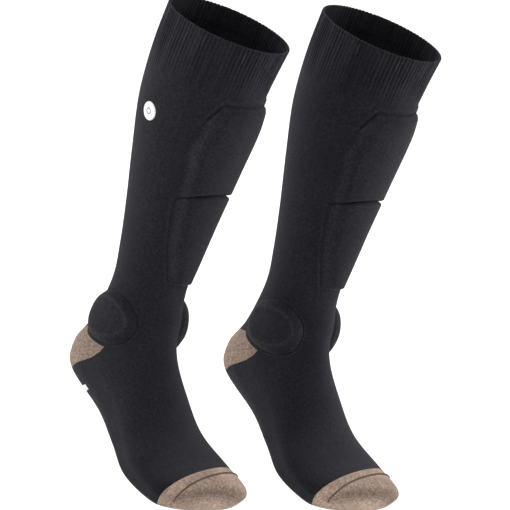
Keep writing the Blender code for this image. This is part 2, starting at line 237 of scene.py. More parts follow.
    def level_of_height(self, height: np.ndarray) -> np.ndarray:
        """The level of the leg's slice at a height.

        Args:
            height: Height over the ankle joint.

        Returns:
            The level, in stations.
        """
        height = np.asarray(height, float)

        def below(level: np.ndarray) -> np.ndarray:
            values = self.slices(level)
            return (values[..., 1] + values[..., 3]) / 2 <= height
        return self._search(0.0, 6.5, height.shape, below)

    def level_beside(self, height: np.ndarray, angle: np.ndarray) -> np.ndarray:
        """The level at which the surface has this height, at this angle round the form."""
        return self._search(1.0, 9.7, np.shape(angle),
                            lambda level: self.surface(level, angle)[..., 2] <= height)

    def level_on_foot(self, angle: np.ndarray, line: float, slant: float,
                      out: float = 0.0) -> np.ndarray:
        """The level at which the foot's surface crosses the slanted line across the toes."""
        def past(level: np.ndarray) -> np.ndarray:
            point = self.surface(level, angle, out)
            return point[..., [0, 2]] @ self.along + slant * point[..., 1] >= line
        return self._search(10.0, float(self.last), np.shape(angle), past)

    def knit(self, level: np.ndarray, angle: np.ndarray) -> np.ndarray:
        """Stitch coordinates: columns round the sock and rows along it.

        Args:
            level: How far along the sock, in stations.
            angle: Degrees round it from the front.

        Returns:
            Two numbers for each point.
        """
        level, angle = np.broadcast_arrays(level, angle)
        rows = np.interp(level, self._levels, self._lengths) / COURSE
        return np.stack([angle / 360.0 * WALES, rows], axis=-1)


FORM = Form()


# Meshes

@dataclass
class Skin:
    """A grid of points over the form, in millimetres, with stitch coordinates for each point.

    rub says how much the yarn wears and fuzzes there, from 0 to 1, with painted highlight and
    painted shade on the toe cap, the heel and the pads. A closed grid goes all round the sock: its
    last column repeats the first, one turn further on in the stitch coordinates.
    """

    points: np.ndarray
    knit: np.ndarray
    wear_and_light: np.ndarray

    @classmethod
    def over(cls, level: np.ndarray, angle: np.ndarray, out: np.ndarray,
             wear_and_light: np.ndarray = 0.0) -> "Skin":
        """Lay a grid over the form.

        Args:
            level: Levels of the grid's points.
            angle: Their angles.
            out: How far outside the form they are.
            wear_and_light: How much the yarn wears there, with painted highlight and painted shade
                in places.

        Returns:
            The grid, with its stitch coordinates.
        """
        points = FORM.surface(level, angle, out)
        wear_and_light = np.broadcast_to(np.asarray(wear_and_light, float), points.shape[:-1])
        return cls(points, FORM.knit(level, angle), wear_and_light)


class Tailor:
    """Turns grids of points into meshes in metres."""

    merge_distance: float = 2e-6
    crease_angle: float = math.radians(62)

    @staticmethod
    def quads(rows: int, columns: int, first: int, flip: bool) -> np.ndarray:
        """The faces of one grid, outwards when rows run down and columns to the left.

        Args:
            rows: Rows of points.
            columns: Points in each row.
            first: The number of the grid's first point.
            flip: Whether the faces are turned over.

        Returns:
            Four point numbers for each face.
        """
        corner = (np.arange(rows - 1)[:, None] * columns + np.arange(columns - 1)[None, :])
        corner = corner.reshape(-1) + first
        faces = np.stack([corner, corner + columns, corner + columns + 1, corner + 1], axis=-1)
        return faces[:, ::-1] if flip else faces

    def mesh(self, name: str, layers: list[tuple[Skin, bool]],
             bridges: list[np.ndarray] = ()) -> bpy.types.Mesh:
        """Join grids into one mesh and close what they share.

        Args:
            name: The mesh's name.
            layers: Grids, each with whether its faces are turned over.
            bridges: Extra faces, as arrays of four point numbers.

        Returns:
            A smooth mesh with its stitch coordinates as a UV map, and as "rub" how much the yarn
            wears, with its painted highlight and painted shade.
        """
        points = np.concatenate([skin.points.reshape(-1, 3) for skin, _ in layers]) * MM
        knit = np.concatenate([skin.knit.reshape(-1, 2) for skin, _ in layers])
        wear_and_light = np.concatenate([skin.wear_and_light.reshape(-1) for skin, _ in layers])
        faces = []
        first = 0
        for skin, flip in layers:
            rows, columns = skin.points.shape[:2]
            faces.append(self.quads(rows, columns, first, flip))
            first += rows * columns
        faces = np.concatenate([*faces, *bridges])
        mesh = bpy.data.meshes.new(name)
        mesh.from_pydata(points.tolist(), [], faces.tolist())
        knit_map = mesh.uv_layers.new(name="knit")
        knit_map.data.foreach_set("uv", knit[faces.reshape(-1)].astype(np.float32).reshape(-1))
        wear_and_light_data = mesh.attributes.new("wear_and_light", "FLOAT", "POINT")
        wear_and_light_data.data.foreach_set("value", wear_and_light.astype(np.float32))
        return self.tidy(mesh)

    def tidy(self, mesh: bpy.types.Mesh) -> bpy.types.Mesh:
        """Merge points that meet, drop faces without area and shade the mesh smooth.

        Args:
            mesh: The mesh to clean.

        Returns:
            The same mesh.
        """
        work = bmesh.new()
        work.from_mesh(mesh)
        bmesh.ops.remove_doubles(work, verts=work.verts, dist=self.merge_distance)
        bmesh.ops.dissolve_degenerate(work, edges=work.edges, dist=self.merge_distance)
        work.to_mesh(mesh)
        work.free()
        mesh.shade_smooth()
        mesh.set_sharp_from_angle(angle=self.crease_angle)
        return mesh

    def slab(self, name: str, outer: Skin, inner: Skin, ring: bool = False) -> bpy.types.Mesh:
        """A closed body between an outer and an inner grid of the same size.

        Args:
            name: The mesh's name.
            outer: The grid that faces out.
            inner: The grid behind it.
            ring: Whether the grids go all round the sock and meet themselves.

        Returns:
            The closed mesh.
        """
        rows, columns = outer.points.shape[:2]
        number = np.arange(rows * columns).reshape(rows, columns)
        behind = number + rows * columns
        rims = [self.rim(number[0], behind[0]), self.rim(behind[-1], number[-1])]
        if not ring:
            rims += [self.rim(behind[:, 0], number[:, 0]), self.rim(number[:, -1], behind[:, -1])]
        return self.mesh(name, [(outer, False), (inner, True)], rims)

    @staticmethod
    def rim(first: np.ndarray, second: np.ndarray) -> np.ndarray:
        """The strip of faces between two rows of point numbers."""
        return np.stack([first[:-1], first[1:], second[1:], second[:-1]], axis=-1)

    @staticmethod
    def applied(mesh: bpy.types.Mesh,
                modify: Callable[[bpy.types.Object], None]) -> bpy.types.Mesh:
        """Run a modifier over a mesh and keep the result as a plain mesh.

        Args:
            mesh: The mesh to change.
            modify: Adds the modifier to the object it is given.

        Returns:
            The finished mesh.
        """
        holder = bpy.data.objects.new(mesh.name, mesh)
        bpy.context.scene.collection.objects.link(holder)
        modify(holder)
        graph = bpy.context.evaluated_depsgraph_get()
        made = bpy.data.meshes.new_from_object(holder.evaluated_get(graph),
                                               preserve_all_data_layers=True, depsgraph=graph)
        made.name = mesh.name
        bpy.data.objects.remove(holder)
        return made

    def thickened(self, mesh: bpy.types.Mesh, wall: float) -> bpy.types.Mesh:
        """Give a single layer of cloth its wall, inwards, in millimetres.

        Args:
            mesh: The cloth's outer face.
            wall: How thick the cloth is.

        Returns:
            The closed mesh.
        """
        def modify(holder: bpy.types.Object) -> None:
            solidify = holder.modifiers.new("wall", "SOLIDIFY")
            solidify.thickness = wall * MM
            solidify.offset = -1.0
            solidify.use_quality_normals = True
        made = self.applied(mesh, modify)
        made.set_sharp_from_angle(angle=self.crease_angle)
        return made


TAILOR = Tailor()


@dataclass(frozen=True)
class Puff:
    """Cloth simulation that lets a sewn cover swell over its padding.

    cap is how far the cover may move in and out, digits the decimals of a millimetre to which
    points count as one, and smoothing the number of passes over the result.
    """

    frames: int = 20
    pressure: float = 4.0
    cap: tuple[float, float] = (-0.5, 1.1)
    digits: int = 4
    smoothing: int = 6

    def swell(self, skin: Skin, held: np.ndarray) -> np.ndarray:
        """How far each point of a cover moves out when its padding presses on it.

        Args:
            skin: The cover's outer face.
            held: How firmly each point is sewn down, from 0 to 1.

        Returns:
            Millimetres along the cover's own normals, for each point.
        """
        shape = skin.points.shape[:2]
        points, first, same = np.unique(np.round(skin.points.reshape(-1, 3), self.digits),
                                        axis=0, return_index=True, return_inverse=True)
        same = same.reshape(-1)
        faces = same[Tailor.quads(*shape, 0, False)]
        faces = [list(dict.fromkeys(face)) for face in faces.tolist()]
        mesh = bpy.data.meshes.new("puff")
        mesh.from_pydata((points * MM).tolist(), [], [face for face in faces if len(face) > 2])
        holder = bpy.data.objects.new("puff", mesh)
        bpy.context.scene.collection.objects.link(holder)
        group = holder.vertex_groups.new(name="sewn")
        for index, weight in enumerate(held.reshape(-1)[first]):
            group.add([index], float(weight), "REPLACE")
        cloth = holder.modifiers.new("cloth", "CLOTH").settings
        cloth.quality = 6
        cloth.mass = 0.25
        cloth.tension_stiffness = 20.0
        cloth.compression_stiffness = 20.0
        cloth.bending_stiffness = 4.0
        cloth.use_pressure = True
        cloth.uniform_pressure_force = self.pressure
        cloth.vertex_group_mass = "sewn"
        cloth.effector_weights.gravity = 0.0
        for number in range(1, self.frames + 1):
            bpy.context.scene.frame_set(number)
        evaluated = holder.evaluated_get(bpy.context.evaluated_depsgraph_get())
        moved = np.empty(len(points) * 3, np.float32)
        evaluated.data.vertices.foreach_get("co", moved)
        normals = np.array([vertex.normal for vertex in mesh.vertices])
        bpy.data.objects.remove(holder)
        bpy.context.scene.frame_set(1)
        moved = moved.reshape(-1, 3) / MM - points
        lift = np.clip(np.sum(moved * normals, axis=-1), *self.cap)[same].reshape(shape)
        for _ in range(self.smoothing):
            lift[1:-1, 1:-1] = (lift[1:-1, 1:-1] * 2 + lift[:-2, 1:-1] + lift[2:, 1:-1]
                                + lift[1:-1, :-2] + lift[1:-1, 2:]) / 6
        return lift * (1 - held)


# Finishes

class Nodes:
    """A small hand for wiring a material's or a shape tree's nodes."""

    def __init__(self, tree: bpy.types.NodeTree) -> None:
        """Keep the tree."""
        self.tree = tree

    def add(self, kind: str, inputs: dict[str | int, Any] | None = None,
            **settings: Any) -> bpy.types.Node:
        """Add a node.

        Args:
            kind: The node's type.
            inputs: Values or sockets for its inputs, by name or number.
            settings: The node's own properties.

        Returns:
            The new node.
        """
        node = self.tree.nodes.new(kind)
        for name, value in settings.items():
            setattr(node, name, value)
        for name, value in (inputs or {}).items():
            if isinstance(value, bpy.types.NodeSocket):
                self.tree.links.new(value, node.inputs[name])
            else:
                node.inputs[name].default_value = value
        return node

    def math(self, operation: str, *values: Any, clamp: bool = False) -> bpy.types.NodeSocket:
        """A Math node's output for these values."""
        return self.add("ShaderNodeMath", dict(enumerate(values)), operation=operation,
                        use_clamp=clamp).outputs[0]

    def mix(self, part: Any, first: Any, second: Any,
            blend: str = "MIX") -> bpy.types.NodeSocket:
        """A colour mixed from two."""
        return self.add("ShaderNodeMix", {0: part, 6: first, 7: second}, data_type="RGBA",
                        blend_type=blend).outputs[2]

    def noise(self, where: bpy.types.NodeSocket, scale: float,
              detail: float = 2.0) -> bpy.types.NodeSocket:
        """Soft noise from 0 to 1."""
        return self.add("ShaderNodeTexNoise", {"Vector": where, "Scale": scale,
                                               "Detail": detail}).outputs["Fac"]

    def shaded(self, colour: Any, tone: bpy.types.NodeSocket) -> bpy.types.NodeSocket:
        """A colour made lighter or darker by a tone."""
        shade = self.add("ShaderNodeCombineColor", {0: tone, 1: tone, 2: tone}).outputs[0]
        return self.mix(1.0, colour, shade, "MULTIPLY")

    def bump(self, strength: float, depth: float,
             height: bpy.types.NodeSocket) -> bpy.types.NodeSocket:
        """Relief in the surface, of a depth in millimetres."""
        return self.add("ShaderNodeBump", {"Strength": strength, "Distance": depth * MM,
                                           "Height": height}).outputs["Normal"]


class Finish:
    """A material that is built once and shared by all the pieces made of it."""

    name: str

    def material(self) -> bpy.types.Material:
        """Build the material, or give the one already made.

        Returns:
            The material.
        """
        made = bpy.data.materials.get(self.name)
        if made is None:
            made = bpy.data.materials.new(self.name)
            made.use_nodes = True
            self.dress(Nodes(made.node_tree), made.node_tree.nodes["Principled BSDF"])
        return made

    def dress(self, nodes: Nodes, shader: bpy.types.Node) -> None:
        """Wire the finish's own nodes to the shader."""
        raise NotImplementedError

    @staticmethod
    def connect(nodes: Nodes, shader: bpy.types.Node, **sockets: bpy.types.NodeSocket) -> None:
        """Link sockets to the shader's inputs: colour, normal and roughness."""
        inputs = {"colour": "Base Color", "normal": "Normal", "roughness": "Roughness"}
        for name, socket in sockets.items():
            nodes.tree.links.new(socket, shader.inputs[inputs[name]])


@dataclass(frozen=True)
class KnitFinish(Finish):
    """Yarn knitted in small slanted stitches, with a soft fuzz."""

    name: str
    yarn: tuple[float, float, float]
    # The lighter colour, for yarn that wears and also used as painted highlight; the plain yarn
    # colour shows as painted shade.
    wear_and_highlight: tuple[float, float, float]
    relief: float = 0.22
    contrast: float = 0.55
    heather: float = 0.6
    rib_tone: float = 0.0
    mottle: float = 0.35
    fuzz: float = 0.085
    fuzz_tint: tuple[float, float, float] = (0.80, 0.82, 0.95)
    roughness: float = 0.88

    def dress(self, nodes: Nodes, shader: bpy.types.Node) -> None:
        """Wire the finish's own nodes to the shader.

        Args:
            nodes: Adds the material's nodes.
            shader: The shader they end in.
        """
        stitch, cell = self._stitches(nodes)
        place = nodes.add("ShaderNodeTexCoord").outputs["Object"]
        cloud = nodes.noise(place, 28.0, 3.0)
        grain = nodes.noise(place, 900.0, 2.0)
        spread = nodes.add("ShaderNodeTexWhiteNoise", {"Vector": cell},
                           noise_dimensions="3D").outputs["Value"]
        wear_and_light = nodes.add("ShaderNodeAttribute", attribute_name="wear_and_light").outputs["Fac"]
        # The point attribute mixes in the lighter colour where the yarn wears, and as painted
        # highlight and painted shade on the toe cap, the heel crease and the pads.
        wear_and_highlight = nodes.math("MULTIPLY", wear_and_light, nodes.math("ADD", 0.35, cloud), clamp=True)
        colour = nodes.mix(wear_and_highlight, (*self.yarn, 1.0), (*self.wear_and_highlight, 1.0))
        tone = nodes.math("MULTIPLY_ADD", stitch, self.contrast, 1.0 - self.contrast * 0.75)
        tone = nodes.math("MULTIPLY", tone, nodes.math("MULTIPLY_ADD", spread, self.heather,
                                                       1.0 - self.heather / 2))
        tone = nodes.math("MULTIPLY", tone, nodes.math("MULTIPLY_ADD", cloud, 0.4, 0.8))
        tone = nodes.math("MULTIPLY", tone, nodes.math("MULTIPLY_ADD", grain, 0.5, 0.75))
        tone = nodes.math("MULTIPLY", tone, self._wales(nodes))
        patch = nodes.add("ShaderNodeMapRange", {
            0: nodes.noise(place, 420.0, 2.0), 1: 0.35, 2: 0.65, 3: 1.0 - self.mottle / 2,
            4: 1.0 + self.mottle / 2}).outputs[0]
        tone = nodes.math("MULTIPLY", tone, patch)
        relief = nodes.math("ADD", stitch, nodes.math("MULTIPLY", grain, 0.5))
        self.connect(nodes, shader, colour=nodes.shaded(colour, tone),
                     normal=nodes.bump(0.8, self.relief, relief),
                     roughness=nodes.math("MULTIPLY_ADD", grain, 0.16, self.roughness - 0.08))
        shader.inputs["Specular IOR Level"].default_value = 0.15
        shader.inputs["Sheen Weight"].default_value = self.fuzz
        shader.inputs["Sheen Roughness"].default_value = 0.45
        shader.inputs["Sheen Tint"].default_value = (*self.fuzz_tint, 1.0)

    def _wales(self, nodes: Nodes) -> bpy.types.NodeSocket:
        """A tone of its own for each column of stitches, stronger where the knit is ribbed.

        Args:
            nodes: Adds the material's nodes.

        Returns:
            The tone, around 1.
        """
        knit = nodes.add("ShaderNodeUVMap", uv_map="knit").outputs["UV"]
        column = nodes.add("ShaderNodeSeparateXYZ", {0: knit}).outputs["X"]
        pair = nodes.math("FLOOR", nodes.math("MULTIPLY_ADD", column, 0.5, 0.25))
        tone = nodes.add("ShaderNodeTexWhiteNoise", {"W": pair}, noise_dimensions="1D")
        drift = nodes.add("ShaderNodeTexNoise", {"W": column, "Scale": 0.3, "Detail": 3.0},
                          noise_dimensions="1D").outputs["Fac"]
        tone = nodes.math("MULTIPLY_ADD", drift, 1.6, nodes.math("MULTIPLY", tone.outputs["Value"],
                                                                 0.6))
        share = 0.12 + self.rib_tone
        return nodes.math("MULTIPLY_ADD", tone, share, 1.0 - share * 1.1)

    @staticmethod
    def _stitches(nodes: Nodes) -> tuple[bpy.types.NodeSocket, bpy.types.NodeSocket]:
        """The height of the slanted stitches, and a number of its own for each stitch.

        Args:
            nodes: Adds the material's nodes.

        Returns:
            The height from 0 to 1, and the stitch's own place in the knit.
        """
        knit = nodes.add("ShaderNodeUVMap", uv_map="knit").outputs["UV"]
        split = nodes.add("ShaderNodeSeparateXYZ", {0: knit})
        column, row = split.outputs["X"], split.outputs["Y"]
        across = nodes.math("MULTIPLY", nodes.math("PINGPONG", column, 0.5), 2.0)
        slanted = nodes.math("MULTIPLY_ADD", across, 0.6, row)
        legs = nodes.math("SINE", nodes.math("MULTIPLY", across, math.pi))
        rows = nodes.math("SINE", nodes.math("MULTIPLY", nodes.math("FRACT", slanted), math.pi))
        stitch = nodes.math("POWER", nodes.math("MULTIPLY", legs, rows), 0.6)
        cell = nodes.add("ShaderNodeVectorMath", {0: knit}, operation="FLOOR").outputs[0]
        return stitch, cell


@dataclass(frozen=True)
class FoamFinish(Finish):
    """Fine open-cell foam or a looped cushion, seen where a piece is lifted out."""

    name: str
    colour: tuple[float, float, float]
    cells: float = 700.0
    depth: float = 0.35
    roughness: float = 0.9

    def dress(self, nodes: Nodes, shader: bpy.types.Node) -> None:
        """Wire the finish's own nodes to the shader.

        Args:
            nodes: Adds the material's nodes.
            shader: The shader they end in.
        """
        place = nodes.add("ShaderNodeTexCoord").outputs["Object"]
        cells = nodes.add("ShaderNodeTexVoronoi", {"Vector": place, "Scale": self.cells})
        cells = cells.outputs["Distance"]
        cloud = nodes.noise(place, 40.0, 3.0)
        tone = nodes.math("MULTIPLY_ADD", cells, 0.6, 0.55)
        tone = nodes.math("MULTIPLY", tone, nodes.math("MULTIPLY_ADD", cloud, 0.4, 0.8))
        self.connect(nodes, shader, colour=nodes.shaded((*self.colour, 1.0), tone),
                     normal=nodes.bump(0.7, self.depth, cells),
                     roughness=nodes.math("MULTIPLY_ADD", cloud, 0.1, self.roughness - 0.05))
        shader.inputs["Sheen Weight"].default_value = 0.2


@dataclass(frozen=True)
class PrintFinish(Finish):
    """A soft rubbery print, white, with a plain dark ring on it where ring is given."""

    name: str
    colour: tuple[float, float, float] = (0.86, 0.86, 0.88)
    ink: tuple[float, float, float] = (0.03, 0.03, 0.035)
    ring: tuple[float, float] = (0.0, 0.0)

    def dress(self, nodes: Nodes, shader: bpy.types.Node) -> None:
        """Wire the finish's own nodes to the shader.

        Args:
            nodes: Adds the material's nodes.
            shader: The shader they end in.
        """
        flat = nodes.add("ShaderNodeUVMap", uv_map="knit").outputs["UV"]
        place = nodes.add("ShaderNodeTexCoord").outputs["Object"]
        grain = nodes.noise(place, 700.0)
        reach = nodes.add("ShaderNodeVectorMath", {0: flat}, operation="LENGTH").outputs["Value"]
        inside, outside = self.ring
        inked = nodes.math("MULTIPLY", nodes.math("GREATER_THAN", reach, inside),
                           nodes.math("LESS_THAN", reach, outside))
        colour = nodes.mix(inked, (*self.colour, 1.0), (*self.ink, 1.0))
        tone = nodes.math("MULTIPLY_ADD", grain, 0.10, 0.94)
        self.connect(nodes, shader, colour=nodes.shaded(colour, tone),
                     normal=nodes.bump(0.3, 0.08, grain),
                     roughness=nodes.math("MULTIPLY_ADD", grain, 0.2, 0.4))


BLACK_KNIT = KnitFinish("black_knit", (0.0140, 0.0136, 0.0186), (0.026, 0.026, 0.034))
RIB_KNIT = KnitFinish("black_rib_knit", (0.0118, 0.0116, 0.0162), (0.026, 0.026, 0.036),
                      relief=0.30, rib_tone=0.6)
COVER_KNIT = KnitFinish("black_cover_knit", (0.0148, 0.0143, 0.0192), (0.032, 0.032, 0.041))
TAN_KNIT = KnitFinish("heel_and_toe_knit", (0.215, 0.155, 0.122), (0.54, 0.396, 0.306),
                      relief=0.34, contrast=0.55, heather=0.4, mottle=0.45, fuzz=0.06,
                      fuzz_tint=(1.0, 0.93, 0.86))
GREY_FOAM = FoamFinish("grey_foam", (0.16, 0.16, 0.17))
BLACK_TERRY = FoamFinish("black_terry", (0.045, 0.045, 0.055), cells=420.0, depth=0.8)
ELASTIC = FoamFinish("grey_elastic", (0.07, 0.07, 0.078), cells=1400.0, depth=0.2)
BADGE_PRINT = PrintFinish("badge_print", ring=(2.3, 3.3))
SOLE_PRINT = PrintFinish("sole_print")


# Putting pieces on the two socks

@dataclass
class Piece:
    """One finished piece of a sock, made on the right leg and copied to the left.

    nodes are the part's own solids that it stands for, without their side. A mirrored piece
    swaps from one side of the leg to the other between the socks, and only names the one sock
    that a piece belongs to.
    """

    name: str
    mesh: bpy.types.Mesh
    finish: Finish
    slot: str
    riding: Riding
    nodes: tuple[str, ...] = ()
    fill: float | None = None
    mirrored: bool = False
    only: Side | None = None

    bend_start: ClassVar[tuple[float, float]] = (0.0, 47.0)
    bend_end: ClassVar[tuple[float, float]] = (11.0, -22.0)

    def put_on(self, side: Side) -> bpy.types.Object:
        """Make the piece's object on one of the two socks.

        Args:
            side: The sock it goes on.

        Returns:
            The object, riding on its body; a piece at the ankle is left where it is.
        """
        place = Vector((0, 0, 0) if side is Side.RIGHT else (*LEFT_PLACE, 0)) * MM
        mesh = self.mesh.copy()
        if self.mirrored and side is Side.LEFT:
            mesh.transform(Matrix.Diagonal((1, -1, 1, 1)))
            mesh.flip_normals()
        mesh.transform(Matrix.Translation(place))
        mesh.materials.clear()
        mesh.materials.append(self.finish.material())
        name = f"{side.value}_{self.name}"
        mesh.name = name
        piece = bpy.data.objects.new(name + "_look", mesh)
        bpy.context.scene.collection.objects.link(piece)
        if self.riding is Riding.ANKLE:
            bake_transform(piece)
        else:
            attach(piece, f"{side.value}_{self.riding.value}")
        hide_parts(*(f"{side.value}_{node}" for node in self.nodes or (self.name,)))
        LOG.info("%s: %d faces", piece.name, len(mesh.polygons))
        return piece


class ShapeTree:
    """Shared parts of the Geometry Nodes trees."""

    def __init__(self, name: str, sizes: dict[str, float]) -> None:
        """Start a tree with its geometry and named sizes.

        Args:
            name: The tree's name.
            sizes: The tree's number inputs and their values.
        """
        self.tree = bpy.data.node_groups.new(name, "GeometryNodeTree")
        face = self.tree.interface
        face.new_socket("Geometry", in_out="INPUT", socket_type="NodeSocketGeometry")
        self.sizes = {}
        for label, value in sizes.items():
            socket = face.new_socket(label, in_out="INPUT", socket_type="NodeSocketFloat")
            self.sizes[socket.identifier] = value
        self.cloth = face.new_socket("Material", in_out="INPUT", socket_type="NodeSocketMaterial")
        face.new_socket("Geometry", in_out="OUTPUT", socket_type="NodeSocketGeometry")
        self.nodes = Nodes(self.tree)
        self.inputs = self.nodes.add("NodeGroupInput").outputs

    def vector(self, operation: str, *values: Any) -> bpy.types.NodeSocket:
        """A Vector Math node's output for these values.

        Args:
            operation: The node's operation.
            values: Its inputs in order, for a scale the factor last.

        Returns:
            The result.
        """
        slots = dict(enumerate(values))
        if operation == "SCALE":
            slots = {0: values[0], "Scale": values[1]}
        return self.nodes.add("ShaderNodeVectorMath", slots, operation=operation).outputs[0]

    def attribute(self, name: str, kind: str = "FLOAT") -> bpy.types.NodeSocket:
        """A named attribute of the geometry."""
        return self.nodes.add("GeometryNodeInputNamedAttribute", {"Name": name},
                              data_type=kind).outputs["Attribute"]

    def close(self, geometry: bpy.types.NodeSocket) -> None:
        """End the tree in Realize Instances and Set Material.

        Args:
            geometry: What the tree has made.
        """
        real = self.nodes.add("GeometryNodeRealizeInstances", {0: geometry}).outputs[0]
        dressed = self.nodes.add("GeometryNodeSetMaterial",
                                 {"Geometry": real, "Material": self.inputs["Material"]})
        self.nodes.add("NodeGroupOutput", {0: dressed.outputs[0]})

    def run(self, mesh: bpy.types.Mesh, material: bpy.types.Material) -> bpy.types.Mesh:
        """Shape a mesh with the tree.

        Args:
            mesh: The mesh or path it works on.
            material: The finish of what it makes.

        Returns:
            The plain mesh it makes.
        """
        def modify(holder: bpy.types.Object) -> None:
            modifier = holder.modifiers.new("shape", "NODES")
            modifier.node_group = self.tree
            for identifier, value in self.sizes.items():
                modifier[identifier] = value
            modifier[self.cloth.identifier] = material
        return Tailor.applied(mesh, modify)


@dataclass
class Cuff:
    """The ribbed cuff, folded in at the top, and the elastic inside the fold."""

    top: float = 330.0
    bottom: float = 272.0
    welt: float = 308.0
    outer: float = 3.5
    roll: float = 1.6
    inner: float = 0.3
    ribs: float = 96.0
    rib_depth: float = 1.15
    unevenness: float = 160.0
    rub_share: float = 0.2
    course: float = 2.4
    columns: int = 768
    lean: float = 1.8
    dip: float = 16.0
    elastic_outs: tuple[float, float] = (1.85, 1.35)
    elastic_gaps: tuple[float, float] = (2.6, 2.0)

    def _profile(self) -> tuple[np.ndarray, np.ndarray, np.ndarray]:
        """Heights, outs and rib strengths down the outside, over the top and down inside.

        Returns:
            Three arrays, with a number for each row of the cuff.
        """
        down = np.linspace(0.0, 1.0, 22)
        outside = self.top - self.roll - (self.top - self.roll - self.bottom) * down
        outs = KNIT_OUT + (self.outer - KNIT_OUT) * (1 - down) ** 0.7
        strength = np.clip(1.15 * (1 - down) ** 0.9, 0.0, 1.0)
        turn = np.radians(np.linspace(0, 180, 9))[1:-1]
        middle = self.outer - self.roll
        over = np.stack([self.top - self.roll + self.roll * np.sin(turn),
                         middle + self.roll * np.cos(turn), np.full(turn.shape, 0.5)])
        inside = np.array([self.top - self.roll, 322.0, 315.0, self.welt + 1.0, self.welt,
                           self.welt - 1.0, 300.0, 290.0, 280.0, self.bottom])
        depths = np.array([middle - self.roll] * 4 + [middle - self.roll + 0.5] + [1.0] * 5)
        inner = np.stack([inside, np.minimum(depths, 1.0), np.full(inside.shape, 0.45)])
        parts = np.concatenate([np.stack([outside, outs, strength])[:, ::-1], over, inner], axis=1)
        return parts[0], parts[1], parts[2]

    def knit_mesh(self) -> bpy.types.Mesh:
        """The rib knit, pressed into ribs by the rib tree.

        Returns:
            The closed mesh.
        """
        heights, outs, strength = self._profile()
        levels = FORM.level_of_height(heights)
        lift = np.maximum(heights - FORM.rows[1][1], 0.0)
        angles = np.linspace(0.0, 360.0, self.columns + 1)
        skin = Skin.over(levels[:, None], angles[None, :], outs[:, None],
                         strength[:, None] * self.rub_share)
        skin.points[..., 2] += lift[:, None]
        skin.points = self._lean(skin.points)
        skin.knit[..., 1] = (np.arange(len(heights)) * self.course)[:, None]
        rows, columns = skin.points.shape[:2]
        ends = np.arange(columns)
        rim = Tailor.rim(ends + (rows - 1) * columns, ends)
        mesh = TAILOR.mesh("cuff", [(skin, True)], [rim])
        co = np.array([vertex.co for vertex in mesh.vertices]) / MM
        self._mark(mesh, co)
        return self._ribs().run(mesh, RIB_KNIT.material())

    def _lean(self, points: np.ndarray) -> np.ndarray:
        """Let the cuff stand a little towards the wearer's left shin, its rim lower there.

        Args:
            points: Points of the cuff in millimetres.

        Returns:
            The points, moved.
        """
        rise = np.clip((points[..., 2] - self.bottom) / (self.top - self.bottom), 0.0, 1.0)
        towards = (points[..., 0] + points[..., 1]) / self.top
        shift = np.stack([self.lean * rise, self.lean * rise,
                          -self.dip * towards * rise ** 2], axis=-1)
        return points + shift

    def _mark(self, mesh: bpy.types.Mesh, points: np.ndarray) -> None:
        """Store each point's turn round the cuff and the strength of its ribs.

        Args:
            mesh: The cuff's mesh.
            points: Its points in millimetres.
        """
        values = FORM.slices(FORM.level_of_height(points[:, 2]))
        centre = (values[:, 0] + values[:, 2]) / 2
        depth = (values[:, 0] - values[:, 2]) / 2
        turn = np.arctan2(points[:, 1] / values[:, 4], (points[:, 0] - centre) / depth)
        wear_and_light_data = np.empty(len(points), np.float32)
        mesh.attributes["wear_and_light"].data.foreach_get("value", wear_and_light_data)
        for name, data in (("turn", turn), ("rib_strength", wear_and_light_data * (1 / self.rub_share))):
            layer = mesh.attributes.new(name, "FLOAT", "POINT")
            layer.data.foreach_set("value", data.astype(np.float32))

    def _ribs(self) -> ShapeTree:
        """The tree that presses upright ribs into the cuff.

        Returns:
            The finished tree.
        """
        shape = ShapeTree("cuff_ribs", {"Rib Count": self.ribs, "Rib Depth": self.rib_depth * MM,
                                        "Rib Unevenness": self.unevenness})
        nodes = shape.nodes
        wave = nodes.math("COSINE", nodes.math("MULTIPLY", shape.attribute("turn"),
                                               shape.inputs["Rib Count"]))
        valley = nodes.math("POWER", nodes.math("MULTIPLY_ADD", wave, -0.5, 0.5), 1.6)
        place = nodes.add("GeometryNodeInputPosition").outputs[0]
        uneven = nodes.add("ShaderNodeTexNoise", {"Vector": place, "Detail": 2.0,
                                                  "Scale": shape.inputs["Rib Unevenness"]},
                           noise_dimensions="2D").outputs["Fac"]
        uneven = nodes.math("MAXIMUM", nodes.math("MULTIPLY_ADD", uneven, 3.4, -0.8), 0.15)
        valley = nodes.math("MULTIPLY", valley, uneven)
        depth = nodes.math("MULTIPLY", nodes.math("MULTIPLY", valley, shape.inputs["Rib Depth"]),
                           shape.attribute("rib_strength"))
        inwards = nodes.math("MULTIPLY", depth, -1.0)
        normal = nodes.add("GeometryNodeInputNormal").outputs[0]
        moved = nodes.add("GeometryNodeSetPosition", {
            "Geometry": shape.inputs["Geometry"],
            "Offset": shape.vector("SCALE", normal, inwards)}).outputs[0]
        shape.close(moved)
        return shape

    def pieces(self) -> list[Piece]:
        """The cuff and its elastic.

        Returns:
            The two pieces.
        """
        above, below = self.elastic_gaps
        heights = np.linspace(self.top - above, self.welt + below, 6)
        angles = np.linspace(0.0, 360.0, 97)
        bands = [Skin.over(FORM.level_of_height(heights)[:, None], angles[None, :], out)
                 for out in self.elastic_outs]
        for band in bands:
            band.points = self._lean(band.points)
        elastic = TAILOR.slab("elastic", *bands, ring=True)
        return [Piece("cuff", self.knit_mesh(), RIB_KNIT, "rib_knit", Riding.LEG),
                Piece("cuff_elastic", elastic, ELASTIC, "elastic", Riding.LEG)]


